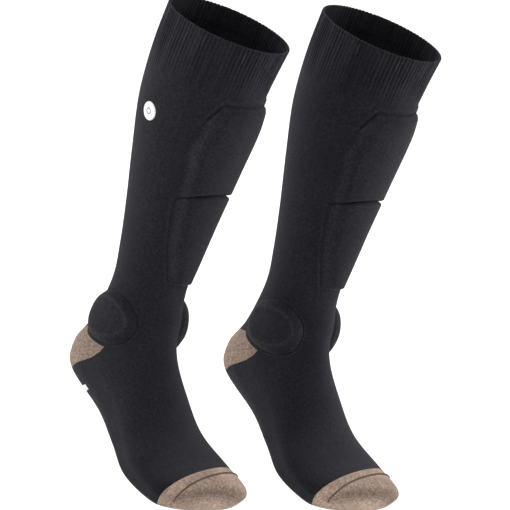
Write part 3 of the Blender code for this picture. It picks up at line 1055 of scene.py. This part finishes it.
@dataclass
class KnitTube:
    """The sock's plain knit from the cuff to the toes, with its tan heel and toe cap."""

    top: float = 272.0
    wall: float = 1.9
    columns: int = 160
    toe_line: float = 177.0
    tip_bulge: float = 2.6
    tube_rows: tuple[int, int] = (118, 78)
    heel_rows: int = 30
    toe_rows: int = 44
    heel_corner: float = 74.0
    heel_crease: float = 0.45
    heel_edges: tuple[tuple[float, float, float], ...] = (
        (74.0, 7.88, 7.88), (77.0, 7.74, 8.18), (80.0, 7.68, 8.38), (86.0, 7.62, 8.62),
        (95.0, 7.57, 8.78), (105.0, 7.50, 8.87), (128.0, 7.38, 9.00), (180.0, 7.30, 9.15))

    def _heel(self, angle: np.ndarray) -> tuple[np.ndarray, np.ndarray]:
        """The levels of the heel's top and bottom edges at an angle.

        Args:
            angle: Degrees round it from the front.

        Returns:
            The two edges' levels.
        """
        turned = np.abs((angle + 180.0) % 360.0 - 180.0)
        table = np.array(self.heel_edges)
        top = np.interp(turned, table[:, 0], table[:, 1])
        bottom = np.interp(turned, table[:, 0], table[:, 2])
        return top, np.maximum(bottom, top)

    def _angles(self) -> np.ndarray:
        """Angles all round, from the middle of the back to the middle of the back."""
        return np.linspace(-180.0, 180.0, self.columns + 1)

    @staticmethod
    def _between(start: np.ndarray, end: np.ndarray, rows: int) -> np.ndarray:
        """Rows of levels from one edge to another."""
        part = np.linspace(0.0, 1.0, rows)[:, None]
        return start + (end - start) * part

    def tube_mesh(self) -> bpy.types.Mesh:
        """Leg, ankle and foot in one skin that leaves the heel open.

        Returns:
            The closed mesh.
        """
        angles = self._angles()
        top, bottom = self._heel(angles)
        start = np.full(angles.shape, float(FORM.level_of_height(self.top)))
        end = FORM.level_on_foot(angles, self.toe_line, TOE_SLANT)
        grids = []
        for first, second, rows in zip((start, bottom), (top, end), self.tube_rows):
            levels = self._between(first, second, rows)
            grids.append((Skin.over(levels, np.broadcast_to(angles, levels.shape), KNIT_OUT), False))
        return TAILOR.thickened(TAILOR.mesh("tube", grids), self.wall)

    def heel_mesh(self) -> bpy.types.Mesh:
        """The tan pouch, from corner to corner round the back.

        Returns:
            The closed mesh.
        """
        angles = self._angles()
        angles = angles[np.abs(angles) >= self.heel_corner]
        angles = np.concatenate([angles[angles > 0], angles[angles < 0] + 360.0])
        angles = np.unique(np.concatenate([[self.heel_corner], angles, [360 - self.heel_corner]]))
        top, bottom = self._heel(angles)
        levels = self._between(top, bottom, self.heel_rows)
        part = np.linspace(0.0, 1.0, self.heel_rows)[:, None]
        crease = np.exp(-((part - 0.62) / 0.035) ** 2)
        outs = KNIT_OUT - self.heel_crease * crease * np.clip((angles - self.heel_corner) / 12, 0, 1)
        back = 1 - np.abs(angles - 180) / (180 - self.heel_corner)
        # Lighter at the middle of the back, where the heel wears; darker in the crease, a painted
        # shade.
        wear_and_light = (0.2 + 0.45 * back * (1 - np.abs(part - 0.55))) * (1 - 0.5 * crease)
        skin = Skin.over(levels, np.broadcast_to(angles, levels.shape), outs, wear_and_light)
        return TAILOR.thickened(TAILOR.mesh("heel", [(skin, False)]), self.wall)

    def toe_mesh(self) -> bpy.types.Mesh:
        """The tan toe cap, closed over the end of the toes.

        Returns:
            The closed mesh.
        """
        angles = self._angles()
        start = FORM.level_on_foot(angles, self.toe_line, TOE_SLANT)
        levels = self._between(start, np.full(angles.shape, float(FORM.last)), self.toe_rows)
        part = np.linspace(0.0, 1.0, self.toe_rows)[:, None]
        seam = FORM.level_on_foot(angles, TOE_SEAM_LINE, TOE_SLANT)
        # Painted light on the toe cap: lighter along the seam over the toes, a painted highlight,
        # and darker over the middle of the cap's upper side, a painted shade.
        near = np.exp(-((levels - seam) / 0.10) ** 2) * (np.cos(np.radians(angles)) > 0)
        shade = np.exp(-((part - 0.62) / 0.3) ** 2)
        shade = shade * np.clip(np.cos(np.radians(angles)), 0, 1) ** 0.5
        wear_and_light = np.clip(0.9 - 0.9 * shade + 0.3 * near, 0, 1)
        skin = Skin.over(levels, np.broadcast_to(angles, levels.shape), KNIT_OUT, wear_and_light)
        ring = skin.points[-1]
        middle = (ring[:-1].max(0) + ring[:-1].min(0)) / 2
        ahead = np.array([FORM.along[0], 0.0, FORM.along[1]])
        inwards = np.linspace(1, 0, 9)[1:, None, None]
        end = middle + (ring - middle) * inwards + ahead * self.tip_bulge * (1 - inwards ** 2)
        knit = skin.knit[-1] + np.linspace(1, 14, 8)[:, None, None] * np.array([0.0, 1.0])
        skin = Skin(np.concatenate([skin.points, end]), np.concatenate([skin.knit, knit]),
                    np.concatenate([skin.wear_and_light, np.ones(end.shape[:2])]))
        return TAILOR.thickened(TAILOR.mesh("toe", [(skin, False)]), self.wall)

    def pieces(self) -> list[Piece]:
        """The tube, the heel and the toe cap.

        Returns:
            The three pieces.
        """
        tube = Piece("knit_tube", self.tube_mesh(), BLACK_KNIT, "knit", Riding.ANKLE,
                     ("leg_sleeve", "ankle_sleeve", "foot_sleeve"))
        return [tube, Piece("heel", self.heel_mesh(), TAN_KNIT, "tan_knit", Riding.ANKLE),
                Piece("toe_cap", self.toe_mesh(), TAN_KNIT, "tan_knit", Riding.FOOT)]


@dataclass
class ToeSeam:
    """The linked seam over the toes: a low cord with a slanted stitch every course."""

    reach: float = 84.0
    cord: float = 0.62
    spacing: float = 1.7
    stitch: float = 1.05

    def _tree(self) -> ShapeTree:
        """The tree that lays a cord and its stitches along a path.

        Returns:
            The finished tree.
        """
        shape = ShapeTree("seam_stitches", {"Cord Radius": self.cord * MM,
                                            "Stitch Spacing": self.spacing * MM,
                                            "Stitch Length": self.stitch * MM, "Stitch Slant": 0.75})
        nodes = shape.nodes
        path = nodes.add("GeometryNodeMeshToCurve", {0: shape.inputs["Geometry"]}).outputs[0]
        ring = nodes.add("GeometryNodeCurvePrimitiveCircle",
                         {"Resolution": 8, "Radius": shape.inputs["Cord Radius"]}).outputs[0]
        cord = nodes.add("GeometryNodeCurveToMesh",
                         {"Curve": path, "Profile Curve": ring, "Fill Caps": True}).outputs[0]
        marks = nodes.add("GeometryNodeResampleCurve",
                          {"Curve": path, "Length": shape.inputs["Stitch Spacing"]},
                          mode="LENGTH").outputs[0]
        tangent = nodes.add("GeometryNodeInputTangent").outputs[0]
        across = shape.vector("CROSS_PRODUCT", shape.attribute("outward", "FLOAT_VECTOR"), tangent)
        slanted = shape.vector("ADD", tangent,
                               shape.vector("SCALE", across, shape.inputs["Stitch Slant"]))
        turn = nodes.add("FunctionNodeAlignRotationToVector", {"Vector": slanted}, axis="X")
        bead = nodes.add("GeometryNodeMeshUVSphere", {"Segments": 8, "Rings": 6, "Radius": 1.0})
        bead = nodes.add("GeometryNodeTransform", {"Geometry": bead.outputs[0],
                                                   "Scale": (1.35, 0.55, 0.95)}).outputs[0]
        stitches = nodes.add("GeometryNodeInstanceOnPoints", {
            "Points": marks, "Instance": bead, "Rotation": turn.outputs[0],
            "Scale": shape.vector("SCALE", (1.0, 1.0, 1.0), shape.inputs["Stitch Length"])})
        both = nodes.add("GeometryNodeJoinGeometry", {0: cord})
        shape.tree.links.new(stitches.outputs[0], both.inputs[0])
        shape.close(both.outputs[0])
        return shape

    def pieces(self) -> list[Piece]:
        """The seam.

        Returns:
            The one piece.
        """
        angles = np.linspace(-self.reach, self.reach, 90)
        levels = FORM.level_on_foot(angles, TOE_SEAM_LINE, TOE_SLANT, KNIT_OUT)
        points = FORM.surface(levels, angles, KNIT_OUT + self.cord * 0.6)
        mesh = bpy.data.meshes.new("toe_seam")
        edges = [(index, index + 1) for index in range(len(points) - 1)]
        mesh.from_pydata((points * MM).tolist(), edges, [])
        outward = mesh.attributes.new("outward", "FLOAT_VECTOR", "POINT")
        outward.data.foreach_set("vector", FORM.outward(levels, angles).astype(np.float32).ravel())
        made = self._tree().run(mesh, TAN_KNIT.material())
        made.shade_smooth()
        return [Piece("toe_seam", made, TAN_KNIT, "tan_knit", Riding.FOOT)]


def foam_front(cover: np.ndarray, cloth: float) -> np.ndarray:
    """How far out the foam reaches under a cover that is this far out and this thick."""
    return np.maximum(cover - cloth - FOAM_GAP, KNIT_OUT + FOAM_LEAST)


@dataclass
class ShinPads:
    """Two foam pads over the shin under one sewn-on cover, with a fold between the pads."""

    turn: float = 10.0
    top: float = 263.0
    bottom: float = 65.0
    outline: tuple[tuple[float, float], ...] = (
        (276.0, 26.0), (263.0, 31.0), (242.0, 42.0), (212.0, 52.0), (185.0, 50.0),
        (140.0, 48.0), (108.0, 44.0), (85.0, 37.0), (65.0, 28.0), (52.0, 24.0))
    groove: float = 167.0
    groove_drop: float = 13.0
    groove_floor: float = 1.3
    rise: float = 6.9
    crown: float = 0.6
    cloth: float = 1.2
    ridge: float = 0.8
    wall: float = 0.13
    slope: float = 17.0
    margin: float = 8.0
    hem_height: float = 8.5
    edge_steps: tuple[float, ...] = (0.0, 0.2, 0.5, 0.9, 1.5, 2.3, 3.4, 4.8, 6.5, 9.0)
    hem_steps: tuple[float, ...] = (1.0, 0.93, 0.87, 0.81, 0.74, 0.66, 0.55, 0.4, 0.25, 0.12,
                                    0.04)

    def half(self, height: np.ndarray) -> np.ndarray:
        """Half the pads' width at a height, in degrees."""
        table = np.array(self.outline)[::-1]
        return np.interp(height, table[:, 0], table[:, 1])

    def _girth(self, height: np.ndarray) -> np.ndarray:
        """Millimetres of surface for each degree round the shin."""
        return np.interp(height, [40, 125, 235, 330], [0.72, 0.84, 1.13, 1.15])

    def _groove(self, across: np.ndarray) -> np.ndarray:
        """Height of the fold; across is -1 and 1 at the pads' edges."""
        return self.groove - self.groove_drop * across ** 2

    def _columns(self) -> tuple[np.ndarray, np.ndarray, np.ndarray]:
        """For each column: which edge it follows, millimetres inside it, hem share outside it.

        Returns:
            Three arrays, with a number for each column.
        """
        edge = np.array(self.edge_steps)
        hem = np.array(self.hem_steps)
        middle = np.linspace(-1, 1, 21)[1:-1]
        kind = np.concatenate([-np.ones(len(hem) + len(edge)), middle,
                               np.ones(len(hem) + len(edge))])
        inside = np.concatenate([np.zeros(len(hem)), edge, np.full(len(middle), np.inf),
                                 edge[::-1], np.zeros(len(hem))])
        outside = np.concatenate([hem, np.zeros(len(edge) * 2 + len(middle)), hem[::-1]])
        return kind, inside, outside

    def _rows(self) -> list[tuple[str, float]]:
        """Each row as the edge it follows and its distance below (or above) that edge.

        Returns:
            The rows from the top down.
        """
        hem = [("over", self.hem_height * step) for step in self.hem_steps]
        edge = list(self.edge_steps)
        back = edge[::-1]
        rows = hem + [("top", step) for step in edge]
        rows += [("upper", part) for part in np.linspace(0, 1, 21)[1:-1]]
        rows += [("fold_over", step) for step in back] + [("fold_under", step) for step in edge]
        rows += [("lower", part) for part in np.linspace(0, 1, 23)[1:-1]]
        rows += [("bottom", step) for step in back]
        return rows + [("under", self.hem_height * step) for step in self.hem_steps[::-1]]

    def _height(self, row: tuple[str, float], across: np.ndarray) -> np.ndarray:
        """The heights of one row's points.

        Args:
            row: The edge it follows and its distance from it.
            across: Where each point is between the pads' sides, -1 and 1.

        Returns:
            The heights.
        """
        kind, value = row
        fold = self._groove(across)
        above = fold + self.groove_floor / 2
        below = fold - self.groove_floor / 2
        last = self.edge_steps[-1]
        spans = {"over": self.top + value, "top": self.top - value,
                 "upper": self.top - last + (above + last - self.top + last) * value,
                 "fold_over": above + value, "fold_under": below - value,
                 "lower": below - last + (self.bottom + last - below + last) * value,
                 "bottom": self.bottom + value, "under": self.bottom - value}
        return np.broadcast_to(spans[kind], across.shape).astype(float)

    def grid(self) -> dict[str, np.ndarray]:
        """The cover's grid: heights, angles, how much padding is under it, and its sewn hem.

        Returns:
            Arrays named height, angle, lift (0 to 1 of the rise), hem (0 inside, 1 at the
            sewn edge), across and ridge (how far the sewn seam stands out there).
        """
        kind, inside, outside = self._columns()
        rows = self._rows()
        nominal = np.stack([self._height(row, kind) for row in rows])
        width = self.half(nominal) * self._girth(nominal)
        inside = np.where(np.isinf(inside), self.edge_steps[-1], inside)
        share = kind * (1 - inside / width)
        height = np.stack([self._height(row, share[index]) for index, row in enumerate(rows)])
        half = self.half(height)
        angle = self.turn + half * share + kind * outside * self.margin
        side = (1 - np.abs(share)) * half * self._girth(height)
        fold = np.abs(height - self._groove(share)) - self.groove_floor / 2
        upper = height > self._groove(share)
        corner = np.clip((height - self.top + 34.0) / 22.0, 0, 1)
        wall = self.wall * np.where(upper, 0.3 + 4.2 * corner, 1.0)
        slope = np.clip(side / self.slope, 0, 1)
        upright = 0.5 * self._edge(self.top - height, 2.8)
        upright = upright + 0.5 * np.clip((self.top - height) / 5.0, 0, 1)
        shape = [wall * self._edge(side, 3.0) + (1 - wall) * slope * slope * (3 - 2 * slope),
                 upright, self._edge(height - self.bottom, 4.5),
                 self._edge(fold, 2.8)]
        shape[3] = 0.35 + 0.65 * shape[3]
        lift = 1 - np.sqrt(sum((1 - part) ** 2 for part in shape))
        lift = np.clip(lift, 0, 1) * (1 + self.crown / self.rise * (1 - share ** 2))
        above = np.maximum(height - self.top, 0) / self.hem_height
        below = np.maximum(self.bottom - height, 0) / self.hem_height
        hem = np.maximum(np.broadcast_to(outside, height.shape), np.maximum(above, below))
        lift = np.where(hem > 0, 0, lift)
        ridge = np.where(upper, 0.12 + 1.5 * corner, 0.9)
        ridge = ridge * np.where(above > 0, np.clip((np.abs(share) - 0.2) / 0.5, 0, 1), 1.0)
        ridge = np.where(below > 0, 0.3, ridge)
        return {"height": height, "angle": angle, "lift": lift, "hem": hem, "across": share,
                "ridge": ridge}

    @staticmethod
    def _edge(distance: np.ndarray, radius: np.ndarray) -> np.ndarray:
        """A rounded shoulder: 0 at the edge and 1 from its radius inwards."""
        part = np.clip(distance / radius, 0, 1)
        return np.sqrt(1 - (1 - part) ** 2)

    def pieces(self) -> list[Piece]:
        """The cover and the two foam pads.

        Returns:
            The three pieces.
        """
        grid = self.grid()
        level = FORM.level_of_height(grid["height"])
        hem = grid["hem"]
        bead = self.ridge * grid["ridge"] * np.exp(-((hem - 0.55) / 0.23) ** 2)
        edge = np.clip((1 - hem) / 0.15, 0, 1) ** 0.5
        out = KNIT_OUT + 0.04 + (0.08 + bead) * edge + self.rise * grid["lift"]
        # Lighter on the pads' walls, where the cover wears, and along the sewn ridge, a painted
        # highlight.
        wear_and_light = np.clip(4 * grid["lift"] * (1 - grid["lift"]), 0, 1) * 0.5 + 0.25 * bead
        outer = Skin.over(level, grid["angle"], out, wear_and_light)
        held = np.clip(np.where(grid["lift"] > 0, 1 - 3 * grid["lift"], 1), 0, 1)
        puff = Puff().swell(outer, held)
        out = out + puff
        outer = Skin.over(level, grid["angle"], out, wear_and_light)
        inner = Skin.over(level, grid["angle"], np.maximum(KNIT_OUT + COVER_BACK, out - self.cloth))
        cover = TAILOR.slab("shin_cover", outer, inner)
        made = [Piece("shin_cover", cover, COVER_KNIT, "cover_knit", Riding.LEG, fill=0.8)]
        for name, chosen in (("upper", grid["height"] > self._groove(grid["across"])),
                             ("lower", grid["height"] < self._groove(grid["across"]))):
            inside = chosen & (grid["lift"] > 0.3)
            rows = np.flatnonzero(inside.any(axis=1))
            middle = grid["lift"].shape[1] // 2
            rows = rows[inside[rows, middle]]
            columns = np.flatnonzero(inside[rows[len(rows) // 2]])
            chosen = np.ix_(rows[1:-1], columns)
            top = foam_front(out[chosen], self.cloth)
            grids = [Skin.over(level[chosen], grid["angle"][chosen], height)
                     for height in (top, np.full(top.shape, KNIT_OUT + FOAM_BACK))]
            foam = TAILOR.slab("shin_pad_" + name, *grids)
            made.append(Piece("shin_pad_" + name, foam, GREY_FOAM, "foam", Riding.LEG, fill=1.0))
        return made


@dataclass
class AnklePads:
    """A round foam pad over each ankle bone, and the domed cover sewn over each.

    places say where each pad is sewn: its angle from the front and its height.
    """

    leg_radius: float = 37.0
    radius: float = 27.8
    face: float = 20.6
    rise: float = 9.4
    cloth: float = 1.2
    segments: int = 96
    places: ClassVar[dict[tuple[Side, str], tuple[float, float]]] = {
        (Side.RIGHT, "inner"): (77.0, 14.0), (Side.RIGHT, "outer"): (-92.0, 10.0),
        (Side.LEFT, "inner"): (-75.0, 10.0), (Side.LEFT, "outer"): (77.0, 12.0),
    }
    foam_radius: float = 26.0
    radii: tuple[float, ...] = (
        0.0, 3, 6, 9, 12, 14, 15.5, 16.8, 17.8, 18.6, 19.4, 20.2, 21.2, 22.2, 23.2, 24.2, 25.2,
        26.2, 27.0, 27.8, 28.3, 28.8, 29.1, 29.4, 29.8, 30.2, 30.6, 31.0, 31.4)

    def _spots(self, place: tuple[float, float],
               radii: np.ndarray) -> tuple[np.ndarray, np.ndarray]:
        """Levels and angles of rings on the leg's surface round a place.

        Args:
            place: The angle and height of the middle.
            radii: The rings' radii.

        Returns:
            Levels and angles, with a row for each ring.
        """
        turns = np.linspace(0, 2 * np.pi, self.segments + 1)
        radii = radii[:, None]
        side = math.copysign(1.0, place[0])
        angle = place[0] - side * np.degrees(radii * np.cos(turns * side) / self.leg_radius)
        level = FORM.level_beside(place[1] + radii * np.sin(turns * side), angle)
        return level, angle

    def _outs(self, radii: np.ndarray) -> tuple[np.ndarray, np.ndarray]:
        """How far the cover stands out at each ring, and its painted highlight along the face's edge
        and over the bead.

        Args:
            radii: The rings' radii.

        Returns:
            Two numbers for each ring.
        """
        slope = np.clip((self.radius - radii) / (self.radius - self.face), 0, 1)
        wall = 0.18 * np.sqrt(1 - (1 - np.clip(slope / 0.14, 0, 1)) ** 2)
        dome = wall + 0.74 * (1 - (1 - slope) ** 1.3)
        crown = 0.08 * np.sqrt(np.clip(1 - (radii / self.face) ** 2, 0, 1))
        bead = 0.5 * np.exp(-((radii - 29.2) / 0.9) ** 2)
        outs = KNIT_OUT + 0.06 + bead + self.rise * (dome + crown)
        # The yarn is painted lighter along the face's edge and over the bead: a painted highlight.
        return outs, 0.7 * np.exp(-((radii - self.face + 0.5) / 1.6) ** 2) + 0.8 * bead

    def _skin(self, place: tuple[float, float], radii: np.ndarray, out: np.ndarray,
              wear_and_light: np.ndarray) -> Skin:
        """Rings over the leg, each point moved straight out from it.

        Args:
            place: The angle and height of the middle.
            radii: The rings' radii.
            out: Millimetres outside the skin.
            wear_and_light: How much lighter the yarn is painted, a painted highlight.

        Returns:
            The rings.
        """
        level, angle = self._spots(place, radii)
        skin = Skin.over(level, angle, 0.0, wear_and_light)
        skin.points = skin.points + FORM.outward(level, angle) * out[..., None]
        return skin

    @staticmethod
    def _disc(name: str, upper: Skin, lower: Skin) -> bpy.types.Mesh:
        """A closed disc between an outer and an inner set of rings.

        Args:
            name: The mesh's name.
            upper: The rings that face out.
            lower: The rings behind them.

        Returns:
            The closed mesh.
        """
        rows, columns = upper.points.shape[:2]
        number = np.arange(rows * columns).reshape(rows, columns)[-1]
        rim = Tailor.rim(number + rows * columns, number)
        return TAILOR.mesh(name, [(upper, True), (lower, False)], [rim[:, ::-1]])

    def _pair(self, place: tuple[float, float], lift: np.ndarray) -> list[bpy.types.Mesh]:
        """The cover and the foam at one place, with the swell of the cover.

        Args:
            place: The angle and height of the middle.
            lift: How far the cover swells at each point.

        Returns:
            The two meshes.
        """
        radii = np.array(self.radii, float)
        outs, wear_and_light = self._outs(radii)
        tall = outs[:, None] + lift
        wear_and_light = np.broadcast_to(wear_and_light[:, None], tall.shape)
        low = np.maximum(KNIT_OUT + COVER_BACK, tall - self.cloth)
        cover = [self._skin(place, radii, out, wear_and_light) for out in (tall, low)]
        within = radii < self.foam_radius
        top = foam_front(tall[within], self.cloth)
        foam = [self._skin(place, radii[within], out, wear_and_light[within] * 0)
                for out in (top, np.full(top.shape, KNIT_OUT + FOAM_BACK))]
        return [self._disc("ankle_cover", *cover), self._disc("ankle_pad", *foam)]

    def pieces(self) -> list[Piece]:
        """Pads and covers on both sides of both ankles.

        Returns:
            The eight pieces.
        """
        radii = np.array(self.radii, float)
        outs, wear_and_light = self._outs(radii)
        full = np.ones(self.segments + 1)
        place = self.places[(Side.RIGHT, "inner")]
        skin = self._skin(place, radii, outs[:, None] * full, wear_and_light[:, None] * full)
        held = np.clip((radii - self.face + 2) / 5.0, 0, 1)[:, None] * full
        lift = Puff().swell(skin, held)
        made = []
        for (side, where), place in self.places.items():
            cover, foam = self._pair(place, lift)
            made += [Piece("ankle_cover_" + where, cover, COVER_KNIT, "cover_knit", Riding.LEG,
                           fill=0.8, only=side),
                     Piece("ankle_pad_" + where, foam, GREY_FOAM, "foam", Riding.LEG, fill=1.0,
                           only=side)]
        return made


@dataclass
class Marks:
    """The badge on the outside of the calf, the bars under the heel and the sole's cushion."""

    badge_angle: float = -93.0
    badge_height: float = 229.0
    badge_leg_radius: float = 59.0
    badge_radius: float = 9.5
    bar_starts: tuple[float, ...] = (-135.0, -129.5, -124.0)
    bar_width: float = 3.6
    bar_levels: tuple[float, float] = (9.45, 9.56)
    bar_rise: float = 0.6
    cushion_angles: tuple[float, float] = (127.0, 233.0)
    cushion_levels: tuple[float, float] = (9.6, 12.3)

    def _badge(self) -> bpy.types.Mesh:
        """A thin round print with a softened edge.

        Returns:
            The closed mesh.
        """
        radii = np.array([0.0, 2, 3.5, 5, 6.5, 8, 8.9, 9.3, self.badge_radius])[:, None]
        rise = np.array([0.95, 0.95, 0.95, 0.94, 0.92, 0.88, 0.75, 0.5, 0.1])[:, None]
        turns = np.linspace(0, 2 * np.pi, 49)
        angle = self.badge_angle + np.degrees(radii * np.cos(turns) / self.badge_leg_radius)
        level = FORM.level_beside(self.badge_height + radii * np.sin(turns), angle)
        skins = []
        for out in (KNIT_OUT + 0.1 + rise * np.ones(turns.shape), np.full(angle.shape, KNIT_OUT)):
            skin = Skin.over(level, angle, out)
            skin.knit = np.stack([radii * np.cos(turns), radii * np.sin(turns)], axis=-1)
            skins.append(skin)
        rows, columns = level.shape
        number = np.arange(rows * columns).reshape(rows, columns)[-1]
        rim = Tailor.rim(number + rows * columns, number)
        return TAILOR.mesh("badge", [(skins[0], False), (skins[1], True)], [rim])

    def _bars(self) -> bpy.types.Mesh:
        """Three plain raised bars side by side under the heel.

        Returns:
            The closed mesh of all three.
        """
        layers = []
        bridges = []
        shape = rows, columns = 9, 5
        number = np.arange(rows * columns).reshape(shape)
        for start in self.bar_starts:
            turns = np.linspace(start, start + self.bar_width, columns)
            angle = np.broadcast_to(turns, shape)
            level = np.broadcast_to(np.linspace(*self.bar_levels, rows)[:, None], shape)
            edge = np.ones(shape)
            edge[[0, -1]] = 0.3
            edge[:, [0, -1]] = 0.3
            outer = Skin.over(level, angle, KNIT_OUT + 0.1 + self.bar_rise * edge)
            inner = Skin.over(level, angle, KNIT_OUT)
            behind = number + rows * columns
            layers += [(outer, False), (inner, True)]
            bridges += [Tailor.rim(number[0], behind[0]), Tailor.rim(behind[-1], number[-1]),
                        Tailor.rim(behind[:, 0], number[:, 0]),
                        Tailor.rim(number[:, -1], behind[:, -1])]
            number = number + 2 * rows * columns
        return TAILOR.mesh("sole_mark", layers, bridges)

    def _cushion(self) -> bpy.types.Mesh:
        """The looped cushion inside the sole, with a soft edge all round.

        Returns:
            The closed mesh.
        """
        left, right = self.cushion_angles
        back, front = self.cushion_levels
        angle = np.linspace(left, right, 46)[None, :]
        level = np.linspace(back, front, 60)[:, None]
        side = np.minimum(angle - left, right - angle) / 8
        end = np.minimum(level - back, front - level) / 0.12
        soft = np.clip(np.minimum(side, end), 0, 1) ** 0.5
        top = Skin.over(level, angle, -1.2 - 2.2 * soft)
        base = Skin.over(level, angle, np.full(soft.shape, -0.8))
        return TAILOR.slab("sole_cushion", base, top)

    def pieces(self) -> list[Piece]:
        """The marks and the cushion.

        Returns:
            The three pieces.
        """
        return [Piece("badge", self._badge(), BADGE_PRINT, "print", Riding.LEG, mirrored=True),
                Piece("sole_mark", self._bars(), SOLE_PRINT, "print", Riding.FOOT, mirrored=True),
                Piece("sole_cushion", self._cushion(), BLACK_TERRY, "cushion", Riding.FOOT,
                      fill=0.7)]


@dataclass
class Studio:
    """A pale floor, soft lights on both sides and the camera."""

    azimuth: float = 45.4
    elevation: float = 15.3
    roll: float = 18.2
    distance: float = 9.5
    lens: float = 663.0
    target: tuple[float, float, float] = (0.0, 0.0, 0.130)
    aside: tuple[float, float] = (0.0823, -0.0450)
    floor_level: float = -0.30
    floor_size: float = 40.0
    middle: tuple[float, float, float] = (0.0, 0.11, 0.12)
    lamp_distance: float = 2.2
    sky: float = 0.6

    def camera(self) -> None:
        """Stand the camera at its angle, turned a little about its own axis."""
        azimuth, elevation, roll = (math.radians(v) for v in (self.azimuth, self.elevation,
                                                              self.roll))
        back = Vector((math.sin(azimuth) * math.cos(elevation),
                       -math.cos(azimuth) * math.cos(elevation), math.sin(elevation)))
        right = Vector((math.cos(azimuth), math.sin(azimuth), 0.0))
        up = back.cross(right)
        across = right * math.cos(roll) + up * math.sin(roll)
        upright = up * math.cos(roll) - right * math.sin(roll)
        data = bpy.data.cameras.new("camera")
        data.lens = self.lens
        data.sensor_width = 36.0
        data.clip_end = 60.0
        camera = bpy.data.objects.new("camera", data)
        aim = Vector(self.target) + across * self.aside[0] + upright * self.aside[1]
        turn = Matrix((across, upright, back)).transposed()
        camera.matrix_world = Matrix.Translation(aim + back * self.distance) @ turn.to_4x4()
        bpy.context.scene.collection.objects.link(camera)
        bpy.context.scene.camera = camera

    def floor(self) -> None:
        """Lay the pale floor."""
        size = self.floor_size
        mesh = bpy.data.meshes.new("floor")
        corners = [(-size, -size), (size, -size), (size, size), (-size, size)]
        mesh.from_pydata([(x, y, self.floor_level) for x, y in corners], [], [(0, 1, 2, 3)])
        material = bpy.data.materials.new("floor")
        material.use_nodes = True
        shader = material.node_tree.nodes["Principled BSDF"]
        shader.inputs["Base Color"].default_value = (0.95, 0.95, 0.95, 1.0)
        shader.inputs["Roughness"].default_value = 1.0
        shader.inputs["Specular IOR Level"].default_value = 0.0
        mesh.materials.append(material)
        floor = bpy.data.objects.new("floor", mesh)
        bpy.context.scene.collection.objects.link(floor)

    def light(self, name: str, azimuth: float, elevation: float, size: tuple[float, float],
              power: float, aim: Vector | None = None) -> None:
        """Hang one large soft light, facing the socks or another point.

        Args:
            name: The light's name.
            azimuth: Where it hangs, in the camera's own terms.
            elevation: How high it hangs, in degrees.
            size: Its width and height in metres.
            power: Its power in watts.
            aim: The point it faces, the middle of the socks if left out.
        """
        angle, rise = math.radians(azimuth), math.radians(elevation)
        back = Vector((math.sin(angle) * math.cos(rise), -math.cos(angle) * math.cos(rise),
                       math.sin(rise)))
        data = bpy.data.lights.new(name, "AREA")
        data.shape = "RECTANGLE"
        data.size, data.size_y = size
        data.energy = power
        lamp = bpy.data.objects.new(name, data)
        lamp.location = (aim or Vector(self.middle)) + back * self.lamp_distance
        lamp.rotation_mode = "QUATERNION"
        lamp.rotation_quaternion = (-back).to_track_quat("-Z", "Y")
        lamp.visible_camera = False
        bpy.context.scene.collection.objects.link(lamp)

    def build(self) -> None:
        """Set up the whole studio."""
        world = bpy.data.worlds.new("studio")
        bpy.context.scene.world = world
        world.use_nodes = True
        background = world.node_tree.nodes["Background"]
        background.inputs["Color"].default_value = (1.0, 1.0, 1.0, 1.0)
        background.inputs["Strength"].default_value = self.sky
        bpy.context.scene.view_settings.view_transform = "Standard"
        self.camera()
        self.floor()
        self.light("left_panel", self.azimuth - 80, 4.0, (1.4, 1.1), 22.0)
        self.light("right_panel", self.azimuth + 86, 5.0, (1.2, 1.1), 22.0)
        self.light("top_panel", self.azimuth + 5, 62.0, (1.8, 1.4), 5.0)
        angle = math.radians(self.azimuth)
        behind = Vector((-math.sin(angle), math.cos(angle), 0.0)) * 1.8
        self.light("floor_panel", self.azimuth, 88.0, (2.4, 2.0), 60.0,
                   behind + Vector((*self.middle[:2], self.floor_level)))


def main() -> None:
    """Build the studio and every piece of both socks."""
    logging.basicConfig(level=logging.INFO, format="%(message)s")
    Studio().build()
    pieces = []
    for maker in (Cuff(), KnitTube(), ToeSeam(), ShinPads(), AnklePads(), Marks()):
        pieces += maker.pieces()
    for side in Side:
        for piece in pieces:
            if piece.only in (None, side):
                piece.put_on(side)


if __name__ == "__main__":
    main()
